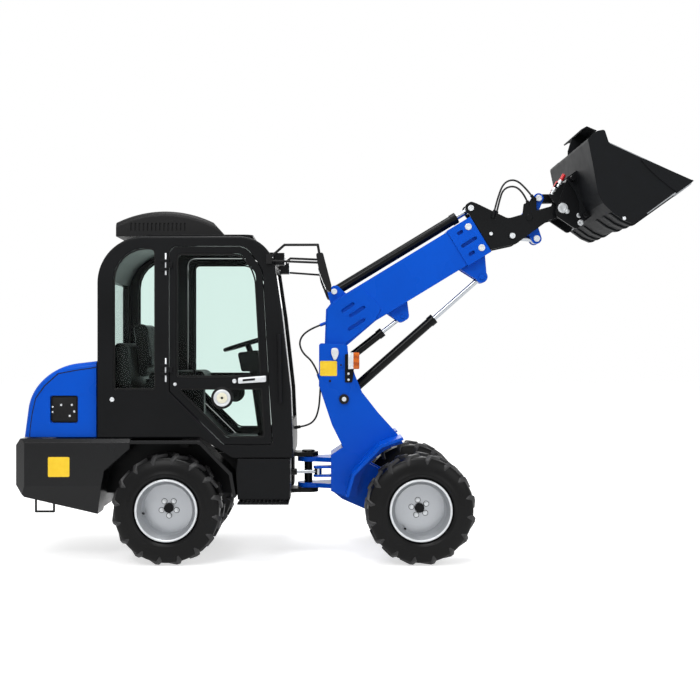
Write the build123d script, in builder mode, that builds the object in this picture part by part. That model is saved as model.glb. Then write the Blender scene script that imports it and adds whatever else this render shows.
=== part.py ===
"""Articulated telescopic wheel loader with a cab, in millimetres.

+X is forward, +Y is the machine's left, +Z is up and the ground is z = 0.
The origin lies under the middle of the machine's bounding box.
"""
from build123d import *
from math import atan2, cos, degrees, hypot, pi, radians, sin, tan
import os

os.makedirs("parts", exist_ok=True)

# Wheels and stance
TYRE_R = 390.0
TYRE_W = 318.0
OVERALL_W = 1300.0
REAR_AXLE_X = -1293.0
WHEELBASE = 1778.0
FRONT_AXLE_X = REAR_AXLE_X + WHEELBASE
AXLE_Z = TYRE_R
TYRE_Y = OVERALL_W / 2 - TYRE_W / 2
RIM_R = 220.0
HUB_R = 34.0
DISC_INSET = 170.0

# Articulation
PIVOT_X = -313.0
PIVOT_PIN_R = 30.0
EAR_TOP_Z = 745.0
EAR_LOW_Z = 445.0
EAR_T = 30.0
STEER_Z = 608.0
STEER_BASE = (PIVOT_X - 420.0, -200.0)
STEER_EYE = (PIVOT_X + 75.0, -130.0)

# Cab
CAB_W = 1050.0
CAB_REAR_X = -1797.0
CAB_TOP_Z = 2316.0
CAB_WALL = 52.0
CAB_EDGE_R = 16.0
CAB_Y = CAB_W / 2
BODY_Y = 560.0
DECK_Z = 884.0
FLOOR_Z = 748.0
DOOR_GAP = 6.0
DOOR_T = 38.0
HINGE_X = -1294.0
HINGE_Y = CAB_Y + 12.0

# Hood
HOOD_X = -1811.0
HOOD_Y = 480.0
HOOD_TOP_Z = 1432.0
HOOD_SKIN = 8.0

# Tower and boom
TOWER_Y = 150.0
TOWER_T = 25.0
LIFT_PIVOT = (-113.0, 1488.0)
BOOM_ANGLE = 31.3
BOOM_W = 200.0
BOOM_LOW = 47.0
BOOM_TOP = 337.0
BOOM_WALL = 10.0
BOOM_END = 1390.0
STROKE = 750.0
LIFT_BASE = (-46.0, 1147.0)
LIFT_EYE = (1239.0, -83.0)
LEVEL_BASE = (-69.0, 1399.0)
LEVEL_EYE = (577.0, -29.0)
TELE_V = 397.0
TELE_BACK_U = 235.0
TELE_FRONT_U = 1428.0
HITCH = (2002.0, 41.0)
HEAD_T = 20.0

# Bucket linkage, measured from the hitch pin in side view at rest
CRANK = (-238.0, -63.0)
CRANK_UPPER = (-161.0, 86.0)
CRANK_LOWER = (-176.0, -218.0)
LINK_PIN = (77.0, 92.0)
TILT_BASE = (-525.0, -186.0)
BUCKET_ANGLE = 35.7
BUCKET_W = 1280.0
BUCKET_T = 12.0


def boom_point(u, v):
    """World x, z of a point given along and across the boom."""
    a = radians(BOOM_ANGLE)
    x = LIFT_PIVOT[0] + u * cos(a) - v * sin(a)
    z = LIFT_PIVOT[1] + u * sin(a) + v * cos(a)
    return (x, z)


HITCH_XZ = boom_point(*HITCH)


def hitch_point(p):
    """World x, z of a point measured from the hitch pin."""
    return (HITCH_XZ[0] + p[0], HITCH_XZ[1] + p[1])


def outline(points):
    """Closed line through (x, y) or (x, y, corner radius) points."""
    n = len(points)
    ends = []
    for i in range(n):
        p = Vector(points[i][0], points[i][1])
        r = points[i][2] if len(points[i]) > 2 else 0.0
        if r <= 0:
            ends.append((p, p, p))
            continue
        a = (Vector(points[i - 1][0], points[i - 1][1]) - p).normalized()
        b = (Vector(points[(i + 1) % n][0], points[(i + 1) % n][1]) - p).normalized()
        half = radians(a.get_angle(b)) / 2
        mid = (a + b).normalized()
        centre = p + mid * (r / sin(half))
        ends.append((p + a * (r / tan(half)), centre - mid * r, p + b * (r / tan(half))))
    for i in range(n):
        if (ends[i][0] - ends[i][2]).length > 1e-6:
            ThreePointArc(ends[i][0], ends[i][1], ends[i][2])
        nxt = ends[(i + 1) % n][0]
        if (ends[i][2] - nxt).length > 1e-6:
            Line(ends[i][2], nxt)


def slab(points, y_low, y_high, at=(0.0, 0.0), angle=0.0, mode=Mode.ADD):
    """Plate with a side-view outline, from y_low to y_high."""
    a = radians(angle)
    plane = Plane(origin=(at[0], y_high, at[1]), x_dir=(cos(a), 0, sin(a)), z_dir=(0, -1, 0))
    with BuildSketch(plane) as face:
        with BuildLine():
            outline(points)
        make_face()
    extrude(face.sketch, amount=y_high - y_low, dir=(0, -1, 0), mode=mode)


def sheet(points, z_low, z_high, mode=Mode.ADD):
    """Plate with a plan-view outline, from z_low to z_high."""
    with BuildSketch(Plane.XY.offset(z_low)) as face:
        with BuildLine():
            outline(points)
        make_face()
    extrude(face.sketch, amount=z_high - z_low, dir=(0, 0, 1), mode=mode)


def rod(start, end, radius, mode=Mode.ADD):
    """Round bar between two points."""
    axis = Vector(*end) - Vector(*start)
    with BuildSketch(Plane(origin=start, z_dir=axis)) as face:
        Circle(radius)
    extrude(face.sketch, amount=axis.length, dir=axis, mode=mode)


def pin(at, y_low, y_high, radius, mode=Mode.ADD):
    """Round bar along Y at a side-view point."""
    rod((at[0], y_low, at[1]), (at[0], y_high, at[1]), radius, mode)


def block(x0, x1, y0, y1, z0, z1, mode=Mode.ADD):
    """Box between two corners."""
    with Locations(((x0 + x1) / 2, (y0 + y1) / 2, (z0 + z1) / 2)):
        Box(abs(x1 - x0), abs(y1 - y0), abs(z1 - z0), mode=mode)


def strip(points, x_low, x_high, mode=Mode.ADD):
    """Bar along X with an end-view outline of (y, z) points."""
    with BuildSketch(Plane(origin=(x_low, 0, 0), x_dir=(0, 1, 0), z_dir=(1, 0, 0))) as face:
        with BuildLine():
            outline(points)
        make_face()
    extrude(face.sketch, amount=x_high - x_low, dir=(1, 0, 0), mode=mode)


def slot(p, q, width, y_low, y_high, at=(0.0, 0.0), angle=0.0):
    """Long hole with round ends through plates, in side view."""
    lean = atan2(q[1] - p[1], q[0] - p[0])
    side = (-sin(lean) * width / 2, cos(lean) * width / 2)
    ends = [(p[0] + side[0], p[1] + side[1]), (p[0] - side[0], p[1] - side[1]),
            (q[0] - side[0], q[1] - side[1]), (q[0] + side[0], q[1] + side[1])]
    slab([(*e, width * 0.49) for e in ends], y_low, y_high, at=at, angle=angle, mode=Mode.SUBTRACT)


def arm(p, q, r_p, r_q, y_low, y_high):
    """Flat bar with two round ends."""
    d = hypot(q[0] - p[0], q[1] - p[1])
    a = degrees(atan2(q[1] - p[1], q[0] - p[0]))
    lean = (r_p - r_q) / d
    c = (1 - lean * lean) ** 0.5
    pts = [(r_p * lean, r_p * c), (r_p * lean, -r_p * c), (d + r_q * lean, -r_q * c), (d + r_q * lean, r_q * c)]
    slab(pts, y_low, y_high, at=p, angle=a)
    pin(p, y_low, y_high, r_p)
    pin(q, y_low, y_high, r_q)


HOSE_R = 7.0
STEER_HOSE_Y = -60.0
STEER_HOSE = [(-372, 935), (-315, 945), (-262, 985), (-236, 1060), (-226, 1150), (-222, 1235)]
LIFT_HOSE_Y = -50.0
LIFT_HOSE = [(-240, 1330), (-275, 1420), (-360, 1490), (-385, 1580), (-320, 1660), (-225, 1696)]


def gland(before, at, y, length):
    """Hose fitting whose face closes the hose's end, running on past it."""
    run = hypot(at[0] - before[0], at[1] - before[1])
    far = (at[0] + (at[0] - before[0]) / run * length, at[1] + (at[1] - before[1]) / run * length)
    rod((at[0], y, at[1]), (far[0], y, far[1]), HOSE_R + 5)


def hose(route, y, name):
    """Plain tube along a route in side view, with arcs as large as the runs allow."""
    points = [Vector(x, y, z) for x, z in route]
    radii = []
    for before, at, after in zip(points, points[1:], points[2:]):
        turn = radians((at - before).get_angle(after - at))
        radii.append(0.45 * min((at - before).length, (after - at).length) / tan(turn / 2))
    print(name, "radii", [round(r) for r in radii])
    with BuildPart() as tube:
        with BuildLine() as path:
            FilletPolyline(*points, radius=radii)
        with BuildSketch(Plane(origin=points[0], z_dir=(points[1] - points[0]).normalized())) as section:
            Circle(HOSE_R)
        sweep(section.sketch, path=path.wires()[0])
    print(name, "volume over section times length", round(tube.part.volume / (pi * HOSE_R ** 2 * path.wires()[0].length), 4))
    tube.part.label = name
    return tube


def parallel(points, gap):
    """Line through points moved sideways by gap, to the left of travel."""
    out = []
    for i in range(len(points)):
        p = Vector(*points[i][:2])
        a = (p - Vector(*points[i - 1][:2])).normalized() if i > 0 else None
        b = (Vector(*points[i + 1][:2]) - p).normalized() if i < len(points) - 1 else None
        a = a or b
        b = b or a
        n = (Vector(-a.Y, a.X) + Vector(-b.Y, b.X)).normalized()
        m = p + n * (gap / n.dot(Vector(-b.Y, b.X)))
        out.append((m.X, m.Y))
    return out


def barrel(base, eye, y, length, radius, bore, eye_r, eye_w, pin_r):
    """Cylinder tube in side view, with its base eye."""
    d = hypot(eye[0] - base[0], eye[1] - base[1])
    e = ((eye[0] - base[0]) / d, (eye[1] - base[1]) / d)
    at = lambda s: (base[0] + e[0] * s, y, base[1] + e[1] * s)
    rod(at(eye_r - 8), at(length), radius)
    rod(at(length - 45), at(length), radius + 5)
    pin(base, y - eye_w / 2, y + eye_w / 2, eye_r)
    rod(at(eye_r + 4), at(length + 1), bore, Mode.SUBTRACT)
    pin(base, y - eye_w, y + eye_w, pin_r, Mode.SUBTRACT)


def piston(base, eye, y, length, radius, eye_r, eye_w, pin_r):
    """Piston rod in side view, with the eye at its far end."""
    d = hypot(eye[0] - base[0], eye[1] - base[1])
    e = ((eye[0] - base[0]) / d, (eye[1] - base[1]) / d)
    tail = (eye[0] - e[0] * length, y, eye[1] - e[1] * length)
    rod(tail, (eye[0], y, eye[1]), radius)
    pin(eye, y - eye_w / 2, y + eye_w / 2, eye_r)
    pin(eye, y - eye_w, y + eye_w, pin_r, Mode.SUBTRACT)


# Rear frame: two rails, cross plates and the two articulation ears with their pin
RAIL_LOW = 120.0
RAIL_LOW_Z = 450.0
RAIL_HIGH = 145.0
RAIL_FRONT = -640.0
RAIL_BACK = -1822.0
with BuildPart() as rear_chassis:
    for side in (-1, 1):
        lo = min(side * RAIL_LOW, side * RAIL_HIGH)
        slab([(RAIL_BACK, RAIL_LOW_Z), (RAIL_FRONT, RAIL_LOW_Z), (RAIL_FRONT, FLOOR_Z), (-1000, FLOOR_Z), (-1200, 840), (RAIL_BACK, 860)],
             lo, lo + RAIL_HIGH - RAIL_LOW)
    block(RAIL_FRONT - 30, RAIL_FRONT, -RAIL_HIGH, RAIL_HIGH, EAR_LOW_Z, FLOOR_Z)
    block(RAIL_FRONT - 30, RAIL_FRONT, -215, 215, 690, FLOOR_Z)
    block(RAIL_FRONT - 30, RAIL_FRONT, -215, 215, EAR_LOW_Z, 500)
    block(RAIL_BACK, RAIL_BACK + 25, -RAIL_LOW, RAIL_LOW, 450, 860)
    block(-1240, -1180, -300, 300, 800, 846)
    for z in (EAR_LOW_Z, EAR_TOP_Z - EAR_T):
        ear = [(RAIL_FRONT, -200), (PIVOT_X - 90, -85), (PIVOT_X + 75, -75, 70), (PIVOT_X + 75, 75, 70),
               (PIVOT_X - 90, 85), (RAIL_FRONT, 200)]
        sheet(ear, z, z + EAR_T)
    rod((PIVOT_X, 0, EAR_LOW_Z), (PIVOT_X, 0, EAR_TOP_Z + 8), PIVOT_PIN_R)
    rod((PIVOT_X, 0, EAR_TOP_Z), (PIVOT_X, 0, EAR_TOP_Z + 12), 48)
    for z in (STEER_Z - 40, STEER_Z + 24):
        base_lug = [(STEER_BASE[0] - 50, STEER_BASE[1] + 60), (STEER_BASE[0] - 40, STEER_BASE[1] - 38),
                    (STEER_BASE[0] + 40, STEER_BASE[1] - 38), (STEER_BASE[0] + 50, STEER_BASE[1] + 60)]
        sheet(base_lug, z, z + 16)
    rod((*STEER_BASE, STEER_Z - 45), (*STEER_BASE, STEER_Z + 45), 14)
rear_chassis.part.label = "rear_chassis"

# Counterweight: one casting behind the rear wheels, with bevelled edges, tow jaw, pin hole and two tie-down loops
TOW_X = -2380.0
TOW_Z = 640.0
TOW_PIN_R = 16.0
TOW_PIN_X = TOW_X + 28.0
BEVEL_Z = 553.0
with BuildPart() as counterweight:
    slab([(TOW_X, BEVEL_Z), (TOW_X, DECK_Z - 49), (TOW_X + 40, DECK_Z), (-1560, DECK_Z), (-1560, 816), (-1740, 659), (-1800, 346),
          (-2310, 472)], -BODY_Y, BODY_Y)
    block(RAIL_BACK, -1400, -300, 300, 300, DECK_Z + 10, mode=Mode.SUBTRACT)
    for side in (-1, 1):
        sheet([(TOW_X - 20, side * (BODY_Y - 90)), (TOW_X - 20, side * (BODY_Y + 10)), (TOW_X + 90, side * (BODY_Y + 10))], 300, 900,
              mode=Mode.SUBTRACT)
        strip([(side * BODY_Y, BEVEL_Z), (side * (BODY_Y - 75), 330), (side * (BODY_Y + 5), 330), (side * (BODY_Y + 5), BEVEL_Z)],
              TOW_X - 5, -1500, mode=Mode.SUBTRACT)
        strip([(side * BODY_Y, DECK_Z - 26), (side * (BODY_Y - 26), DECK_Z), (side * BODY_Y, DECK_Z)], TOW_X - 5, -1500,
              mode=Mode.SUBTRACT)
        loop = [(-2254, 470), (-2254, 355), (-2125, 355), (-2125, 440)]
        for start, end in zip(loop, loop[1:]):
            rod((start[0], side * 430, start[1]), (end[0], side * 430, end[1]), 8)
        for corner in loop[1:3]:
            with Locations((corner[0], side * 430, corner[1])):
                Sphere(8)
    block(TOW_X - 1, TOW_X + 90, -60, 60, TOW_Z - 45, TOW_Z + 45, mode=Mode.SUBTRACT)
    rod((TOW_PIN_X, 0, 300), (TOW_PIN_X, 0, DECK_Z + 5), TOW_PIN_R, mode=Mode.SUBTRACT)
    rod((TOW_PIN_X, 0, 300), (TOW_PIN_X, 0, TOW_Z - 75), TOW_PIN_R + 8, mode=Mode.SUBTRACT)
    rod((TOW_PIN_X, 0, DECK_Z - 49), (TOW_PIN_X, 0, DECK_Z + 5), TOW_PIN_R + 10, mode=Mode.SUBTRACT)
counterweight.part.label = "counterweight"

# Engine, as one plain block under the hood
with BuildPart() as engine_block:
    block(-2150, -1850, -240, 240, DECK_Z, 1240)
engine_block.part.label = "engine_block"

# Axles: housing, tubes and hubs that the wheels turn on
HUB_FACE = TYRE_Y + TYRE_W / 2 - 12 - DISC_INSET
with BuildPart() as rear_axle:
    pin((REAR_AXLE_X, AXLE_Z), -110, 110, 120)
    pin((REAR_AXLE_X, AXLE_Z), -HUB_FACE + 40, HUB_FACE - 40, 58)
    for side in (-1, 1):
        lo = min(side * (HUB_FACE - 45), side * (HUB_FACE - 1))
        pin((REAR_AXLE_X, AXLE_Z), lo, lo + 44, 85)
        lo = min(side * (HUB_FACE - 10), side * (HUB_FACE + 40))
        pin((REAR_AXLE_X, AXLE_Z), lo, lo + 50, HUB_R - 0.6)
        lo = min(side * RAIL_LOW, side * RAIL_HIGH)
        block(REAR_AXLE_X - 70, REAR_AXLE_X + 70, lo, lo + 25, AXLE_Z, RAIL_LOW_Z)
rear_axle.part.label = "rear_axle"

with BuildPart() as front_axle:
    pin((FRONT_AXLE_X, AXLE_Z), -110, 110, 120)
    pin((FRONT_AXLE_X, AXLE_Z), -HUB_FACE + 40, HUB_FACE - 40, 58)
    for side in (-1, 1):
        lo = min(side * (HUB_FACE - 45), side * (HUB_FACE - 1))
        pin((FRONT_AXLE_X, AXLE_Z), lo, lo + 44, 85)
        lo = min(side * (HUB_FACE - 10), side * (HUB_FACE + 40))
        pin((FRONT_AXLE_X, AXLE_Z), lo, lo + 50, HUB_R - 0.6)
front_axle.part.label = "front_axle"

# Rear fenders: bent bands over the rear wheels, one each side
FENDER_PATH = [(-1558, 872), (-1065, 872), (-839, 640), (-811, 476)]
with BuildPart() as rear_fenders:
    for side in (-1, 1):
        lo = min(side * 300, side * BODY_Y)
        slab(FENDER_PATH + parallel(FENDER_PATH, -24)[::-1], lo, lo + BODY_Y - 300)
        lo = min(side * 110, side * 300)
        block(-1225, -1195, lo, lo + 190, 846, 872)
rear_fenders.part.label = "rear_fenders"

# Tank boxes with steps under the doors
with BuildPart() as side_boxes:
    for side in (-1, 1):
        lo = min(side * 300, side * 545)
        slab([(-800, 455), (-431, 455), (-431, 742), (-800, 742), (-812, 640)], lo, lo + 245)
        lo = min(side * 400, side * 590)
        block(-800, -440, lo, lo + 190, 425, 437)
        for x in (-790, -455):
            lo = min(side * 420, side * 445)
            block(x, x + 12, lo, lo + 25, 430, 460)
        lo = min(side * 215, side * 302)
        block(RAIL_FRONT - 28, RAIL_FRONT - 2, lo, lo + 87, 692, 742)
side_boxes.part.label = "side_boxes"

# Cab floor, seat box and console
with BuildPart() as cab_base:
    slab([(CAB_REAR_X + CAB_WALL, 890), (CAB_REAR_X + CAB_WALL, 1150), (-1230, 1150), (-960, 846), (-470, 846),
          (-470, FLOOR_Z), (-826, FLOOR_Z), (-1040, 890)], -CAB_Y + CAB_WALL, CAB_Y - CAB_WALL)
    block(-1740, -1240, -200, 200, 872, 895)
    block(-1520, -1230, -170, 170, 1145, 1262)
    block(-1480, -1060, -360, -270, 1000, 1300)
cab_base.part.label = "cab_base"

# Cab frame: one welded shell with its window and door openings
CAB_SIDE = [(CAB_REAR_X, 884), (CAB_REAR_X, CAB_TOP_Z, 330), (-590, CAB_TOP_Z, 260), (-539, 2104), (-489, 1764),
            (-428, 1220), (-412, 846), (-412, FLOOR_Z), (-838, FLOOR_Z), (-1060, 884)]
DOOR = [(-1284, 1222, 20), (-1284, 2240, 60), (-745, 2240, 110), (-630, 2075, 110), (-560, 842, 30), (-899, 842, 40)]
QUARTER = [(-1682, 1228, 20), (-1682, 2232, 230), (-1382, 2232, 40), (-1382, 1228, 20)]


def grown(points, gap):
    """Outline moved outwards by gap; the corner radii grow with it."""
    ring = [p[:2] for p in points]
    wide = parallel([ring[-1]] + ring + [ring[0]], gap)[1:-1]
    return [(w[0], w[1], (p[2] if len(p) > 2 else 0) + max(gap, 0)) for w, p in zip(wide, points)]


SCREEN = [(-1000, 990), (-300, 990), (-300, 2100), (-1000, 2100)]
with BuildPart() as cab_frame:
    slab(CAB_SIDE, -CAB_Y, CAB_Y)
    rim = [e for e in cab_frame.edges() if abs(abs(e.center().Y) - CAB_Y) < 0.1 and e.center().Z > FLOOR_Z + 100]
    fillet(rim, CAB_EDGE_R)
    inner = [(CAB_REAR_X + CAB_WALL, 700), (CAB_REAR_X + CAB_WALL, CAB_TOP_Z - CAB_WALL, 290),
             (-628, CAB_TOP_Z - CAB_WALL, 210), (-592, 2104), (-541, 1764), (-480, 1220), (-470, 846), (-470, 700)]
    slab(inner, -CAB_Y + CAB_WALL, CAB_Y - CAB_WALL, mode=Mode.SUBTRACT)
    slab(grown(DOOR, DOOR_GAP), -CAB_Y - 5, CAB_Y + 5, mode=Mode.SUBTRACT)
    slab(QUARTER, -CAB_Y - 5, CAB_Y + 5, mode=Mode.SUBTRACT)
    slab(SCREEN, -430, 430, mode=Mode.SUBTRACT)
    block(CAB_REAR_X - 5, CAB_REAR_X + 200, -400, 400, 1480, 2010, mode=Mode.SUBTRACT)
    block(-1380, -800, -380, 380, CAB_TOP_Z - 100, CAB_TOP_Z + 5, mode=Mode.SUBTRACT)
    for side in (-1, 1):
        for z in (1330, 2070):
            lo = min(side * (CAB_Y - 5), side * (HINGE_Y + 4))
            block(-1345, HINGE_X + 4, lo, lo + 21, z, z + 20)
            block(-1345, HINGE_X + 4, lo, lo + 21, z + 60, z + 80)
            rod((HINGE_X, side * HINGE_Y, z), (HINGE_X, side * HINGE_Y, z + 80), 7)
    gland(STEER_HOSE[1], STEER_HOSE[0], STEER_HOSE_Y, 60)
cab_frame.part.label = "cab_frame"

with BuildPart() as cab_roof:
    sheet([(-1480, -470, 60), (-700, -470, 60), (-700, 470, 60), (-1480, 470, 60)], CAB_TOP_Z, CAB_TOP_Z + 16)
cab_roof.part.label = "cab_roof"

# Roof cooler: a low domed cover with air slots in its sides
COOLER_Y = 310.0
COOLER_Z = CAB_TOP_Z + 20
COOLER_SLOT = 30.0
with BuildPart() as roof_cooler:
    with BuildSketch(Plane(origin=(0, COOLER_Y, 0), x_dir=(1, 0, 0), z_dir=(0, -1, 0))) as dome:
        with BuildLine():
            Polyline((-1000, COOLER_Z + 104), (-906, COOLER_Z), (-1706, COOLER_Z), (-1706, COOLER_Z + 104))
            ThreePointArc((-1706, COOLER_Z + 104), (-1350, COOLER_Z + 186), (-1000, COOLER_Z + 104))
        make_face()
    extrude(dome.sketch, amount=2 * COOLER_Y, dir=(0, -1, 0))
    rim = [e for e in roof_cooler.edges() if abs(abs(e.center().Y) - COOLER_Y) < 0.1 and e.center().Z > COOLER_Z + 110]
    fillet(rim, 40)
    for side in (-1, 1):
        lo = min(side * (COOLER_Y - 10), side * (COOLER_Y + 5))
        for i in range(14):
            x = -1600 + COOLER_SLOT * i
            block(x, x + COOLER_SLOT * 0.4, lo, lo + 15, COOLER_Z + 40, COOLER_Z + 98, mode=Mode.SUBTRACT)
    block(-1480, -920, -290, 290, CAB_TOP_Z + 16, COOLER_Z + 9)
roof_cooler.part.label = "roof_cooler"

# Fixed glass: quarter panes, windscreen and rear pane
GLASS_T = 6.0
with BuildPart() as quarter_windows:
    for side in (-1, 1):
        lo = min(side * (CAB_Y - 26), side * (CAB_Y - 20))
        slab(QUARTER, lo, lo + GLASS_T)
quarter_windows.part.label = "quarter_windows"

with BuildPart() as windscreen:
    band = [(-418.2, 990), (-428, 1220), (-489, 1764), (-538.4, 2100)]
    line = parallel(band, 14)
    back = parallel(band, 20)
    slab([(line[0][0], 990), line[1], line[2], (line[3][0], 2100), (back[3][0], 2100), back[2], back[1], (back[0][0], 990)],
         -430, 430)
windscreen.part.label = "windscreen"

with BuildPart() as rear_window:
    block(CAB_REAR_X + 20, CAB_REAR_X + 26, -400, 400, 1480, 2010)
rear_window.part.label = "rear_window"

# Seat
with BuildPart() as seat_cushion:
    slab([(-1500, 1262), (-1500, 1370, 30), (-1050, 1385, 50), (-1050, 1275, 20), (-1100, 1262)], -235, 235)
seat_cushion.part.label = "seat_cushion"

with BuildPart() as seat_back:
    slab([(-1560, 1290), (-1610, 1720, 50), (-1500, 1720, 50), (-1455, 1372), (-1502, 1372), (-1502, 1290)], -225, 225)
seat_back.part.label = "seat_back"

# Steering column with its wheel
COLUMN_TOP = (-775.0, 0.0, 1560.0)
with BuildPart() as steering_column:
    block(-720, -560, -90, 90, 846, 862)
    rod((-645, 0, 875), (-720, 0, 1400), 45)
    rod((-645, 0, 860), (-645, 0, 900), 52)
    slab([(-810, 1350, 20), (-840, 1490, 20), (-690, 1510, 20), (-660, 1350, 20)], -110, 110)
    rod((-745, 0, 1480), COLUMN_TOP, 22)
    wheel_plane = Plane(origin=COLUMN_TOP, x_dir=(0, 1, 0), z_dir=(-0.3, 0, 1))
    low = wheel_plane.from_local_coords(Vector(0, 0, -14))
    top = wheel_plane.from_local_coords(Vector(0, 0, 16))
    rod(tuple(low), tuple(top), 44)
    with BuildSketch(Plane(origin=COLUMN_TOP, x_dir=(0, 1, 0), z_dir=(1, 0, 0.3))) as grip:
        with Locations((175, 0)):
            Circle(14)
    revolve(grip.sketch, axis=Axis(COLUMN_TOP, tuple(wheel_plane.z_dir)))
    with BuildSketch(wheel_plane) as spokes:
        for turn in (0, 120, 240):
            with Locations(Location((0, 0, 0), turn)):
                with Locations((105, 0)):
                    Rectangle(138, 26)
    extrude(spokes.sketch, amount=5, both=True)
steering_column.part.label = "steering_column"

with BuildPart() as control_lever:
    rod((-1130, -315, 1308), (-1140, -315, 1400), 9)
    rod((-1140, -315, 1400), (-1146, -315, 1448), 20)
    rod((-1130, -315, 1300), (-1130, -315, 1318), 40)
control_lever.part.label = "control_lever"

# Lamps on the cab's front corners, and the mirrors on their double arms
with BuildPart() as work_lamps:
    for side in (-1, 1):
        lo = min(side * 400, side * 490)
        block(-545, -475, lo, lo + 90, 2115, 2200)
        lo = min(side * 425, side * 465)
        block(-600, -540, lo, lo + 40, 2190, 2205)
        block(-556, -540, lo, lo + 40, 2150, 2205)
    slab(CAB_SIDE, -CAB_Y, CAB_Y, mode=Mode.SUBTRACT)
work_lamps.part.label = "work_lamps"

with BuildPart() as mirrors:
    for side in (-1, 1):
        lo = min(side * 540, side * 700)
        slab([(-248, 2180, 15), (-199, 2184, 15), (-140, 1957, 20), (-143, 1908, 12), (-172, 1926, 12), (-228, 2068)], lo, lo + 160)
        arm_out = [(-575, CAB_Y + 12, 2160), (-470, CAB_Y + 30, 2250), (-235, 612, 2245), (-222, 616, 2170)]
        for start, end in zip(arm_out, arm_out[1:]):
            rod((start[0], side * start[1], start[2]), (end[0], side * end[1], end[2]), 9)
        for knee in arm_out[1:3]:
            with Locations((knee[0], side * knee[1], knee[2])):
                Sphere(9)
        rod((-575, side * (CAB_Y + 12), 2140), (-225, side * 612, 2120), 8)
        lo = min(side * CAB_Y, side * (CAB_Y + 24))
        block(-600, -560, lo, lo + 24, 2118, 2186)
mirrors.part.label = "mirrors"

# Hand rails beside the doors
with BuildPart() as hand_rails:
    for side in (-1, 1):
        y = side * (CAB_Y + 38)
        rod((-500, y, 1140), (-510, y, 1620), 13)
        for x, z in ((-500, 1150), (-510, 1610)):
            rod((x, side * CAB_Y, z), (x, y, z), 11)
hand_rails.part.label = "hand_rails"

# Engine hood: a shell with a rounded edge, side recesses and a rear grille, hinged at its top front edge
HOOD_EDGE_R = 40.0
HOOD_REAR_X = HOOD_X - 519
HOOD_FOOT_Z = DECK_Z + 6
HOOD_SIDE = [(HOOD_REAR_X, HOOD_FOOT_Z), (HOOD_X - 479, HOOD_TOP_Z - 242, 340), (HOOD_X - 309, HOOD_TOP_Z - 37, 430),
             (HOOD_X, HOOD_TOP_Z), (HOOD_X, HOOD_FOOT_Z)]
HOOD_HINGE = (HOOD_X + 3, HOOD_TOP_Z + 14)
RECESS = [(HOOD_X - 330, 991, 12), (HOOD_X - 330, 1186, 12), (HOOD_X - 131, 1186, 12), (HOOD_X - 131, 991, 12)]


with BuildPart() as hood_space:
    inside = grown(HOOD_SIDE, -HOOD_SKIN)
    slab([(inside[0][0] - 2, HOOD_FOOT_Z - 10), inside[1], inside[2], (HOOD_X + 20, inside[3][1] + 3), (HOOD_X + 20, HOOD_FOOT_Z - 10)],
         HOOD_SKIN - HOOD_Y, HOOD_Y - HOOD_SKIN)
    rim = [e for e in hood_space.edges() if abs(abs(e.center().Y) - HOOD_Y + HOOD_SKIN) < 0.1
           and e.center().Z > HOOD_FOOT_Z and e.center().X < HOOD_X + 10]
    fillet(rim, HOOD_EDGE_R - HOOD_SKIN)
with BuildPart() as engine_hood:
    slab(HOOD_SIDE, -HOOD_Y, HOOD_Y)
    rim = [e for e in engine_hood.edges() if abs(abs(e.center().Y) - HOOD_Y) < 0.1
           and e.center().Z > HOOD_FOOT_Z + 1 and e.center().X < HOOD_X - 1]
    fillet(rim, HOOD_EDGE_R)
    add(hood_space.part, mode=Mode.SUBTRACT)
    for side in (-1, 1):
        lo = min(side * (HOOD_Y - 26), side * (HOOD_Y - 4))
        slab(grown(RECESS, 6), lo, lo + 22)
        lo = min(side * (HOOD_Y - 20), side * (HOOD_Y + 2))
        slab(RECESS, lo, lo + 22, mode=Mode.SUBTRACT)
    for i in range(6):
        z = HOOD_FOOT_Z + 70 + 30 * i
        block(HOOD_REAR_X - 5, HOOD_REAR_X + 90, -300, 300, z, z + 13, mode=Mode.SUBTRACT)
    for y in (-300, 300):
        pin(HOOD_HINGE, y - 32, y - 12, 11)
        slab([(HOOD_X - 19, HOOD_TOP_Z - 12), (HOOD_X - 3, HOOD_TOP_Z + 14), (HOOD_X + 9, HOOD_TOP_Z + 14),
              (HOOD_X - 4, HOOD_TOP_Z - 12)], y - 32, y - 12)
        pin(HOOD_HINGE, y - 32, y + 12, 6)
engine_hood.part.label = "engine_hood"

with BuildPart() as hood_hinges:
    for y in (-300, 300):
        pin(HOOD_HINGE, y - 11, y + 11, 11)
        block(HOOD_HINGE[0], CAB_REAR_X, y - 11, y + 11, HOOD_HINGE[1] - 11, HOOD_HINGE[1] + 11)
        pin(HOOD_HINGE, y - 30, y + 30, 6.4, mode=Mode.SUBTRACT)
hood_hinges.part.label = "hood_hinges"

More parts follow.
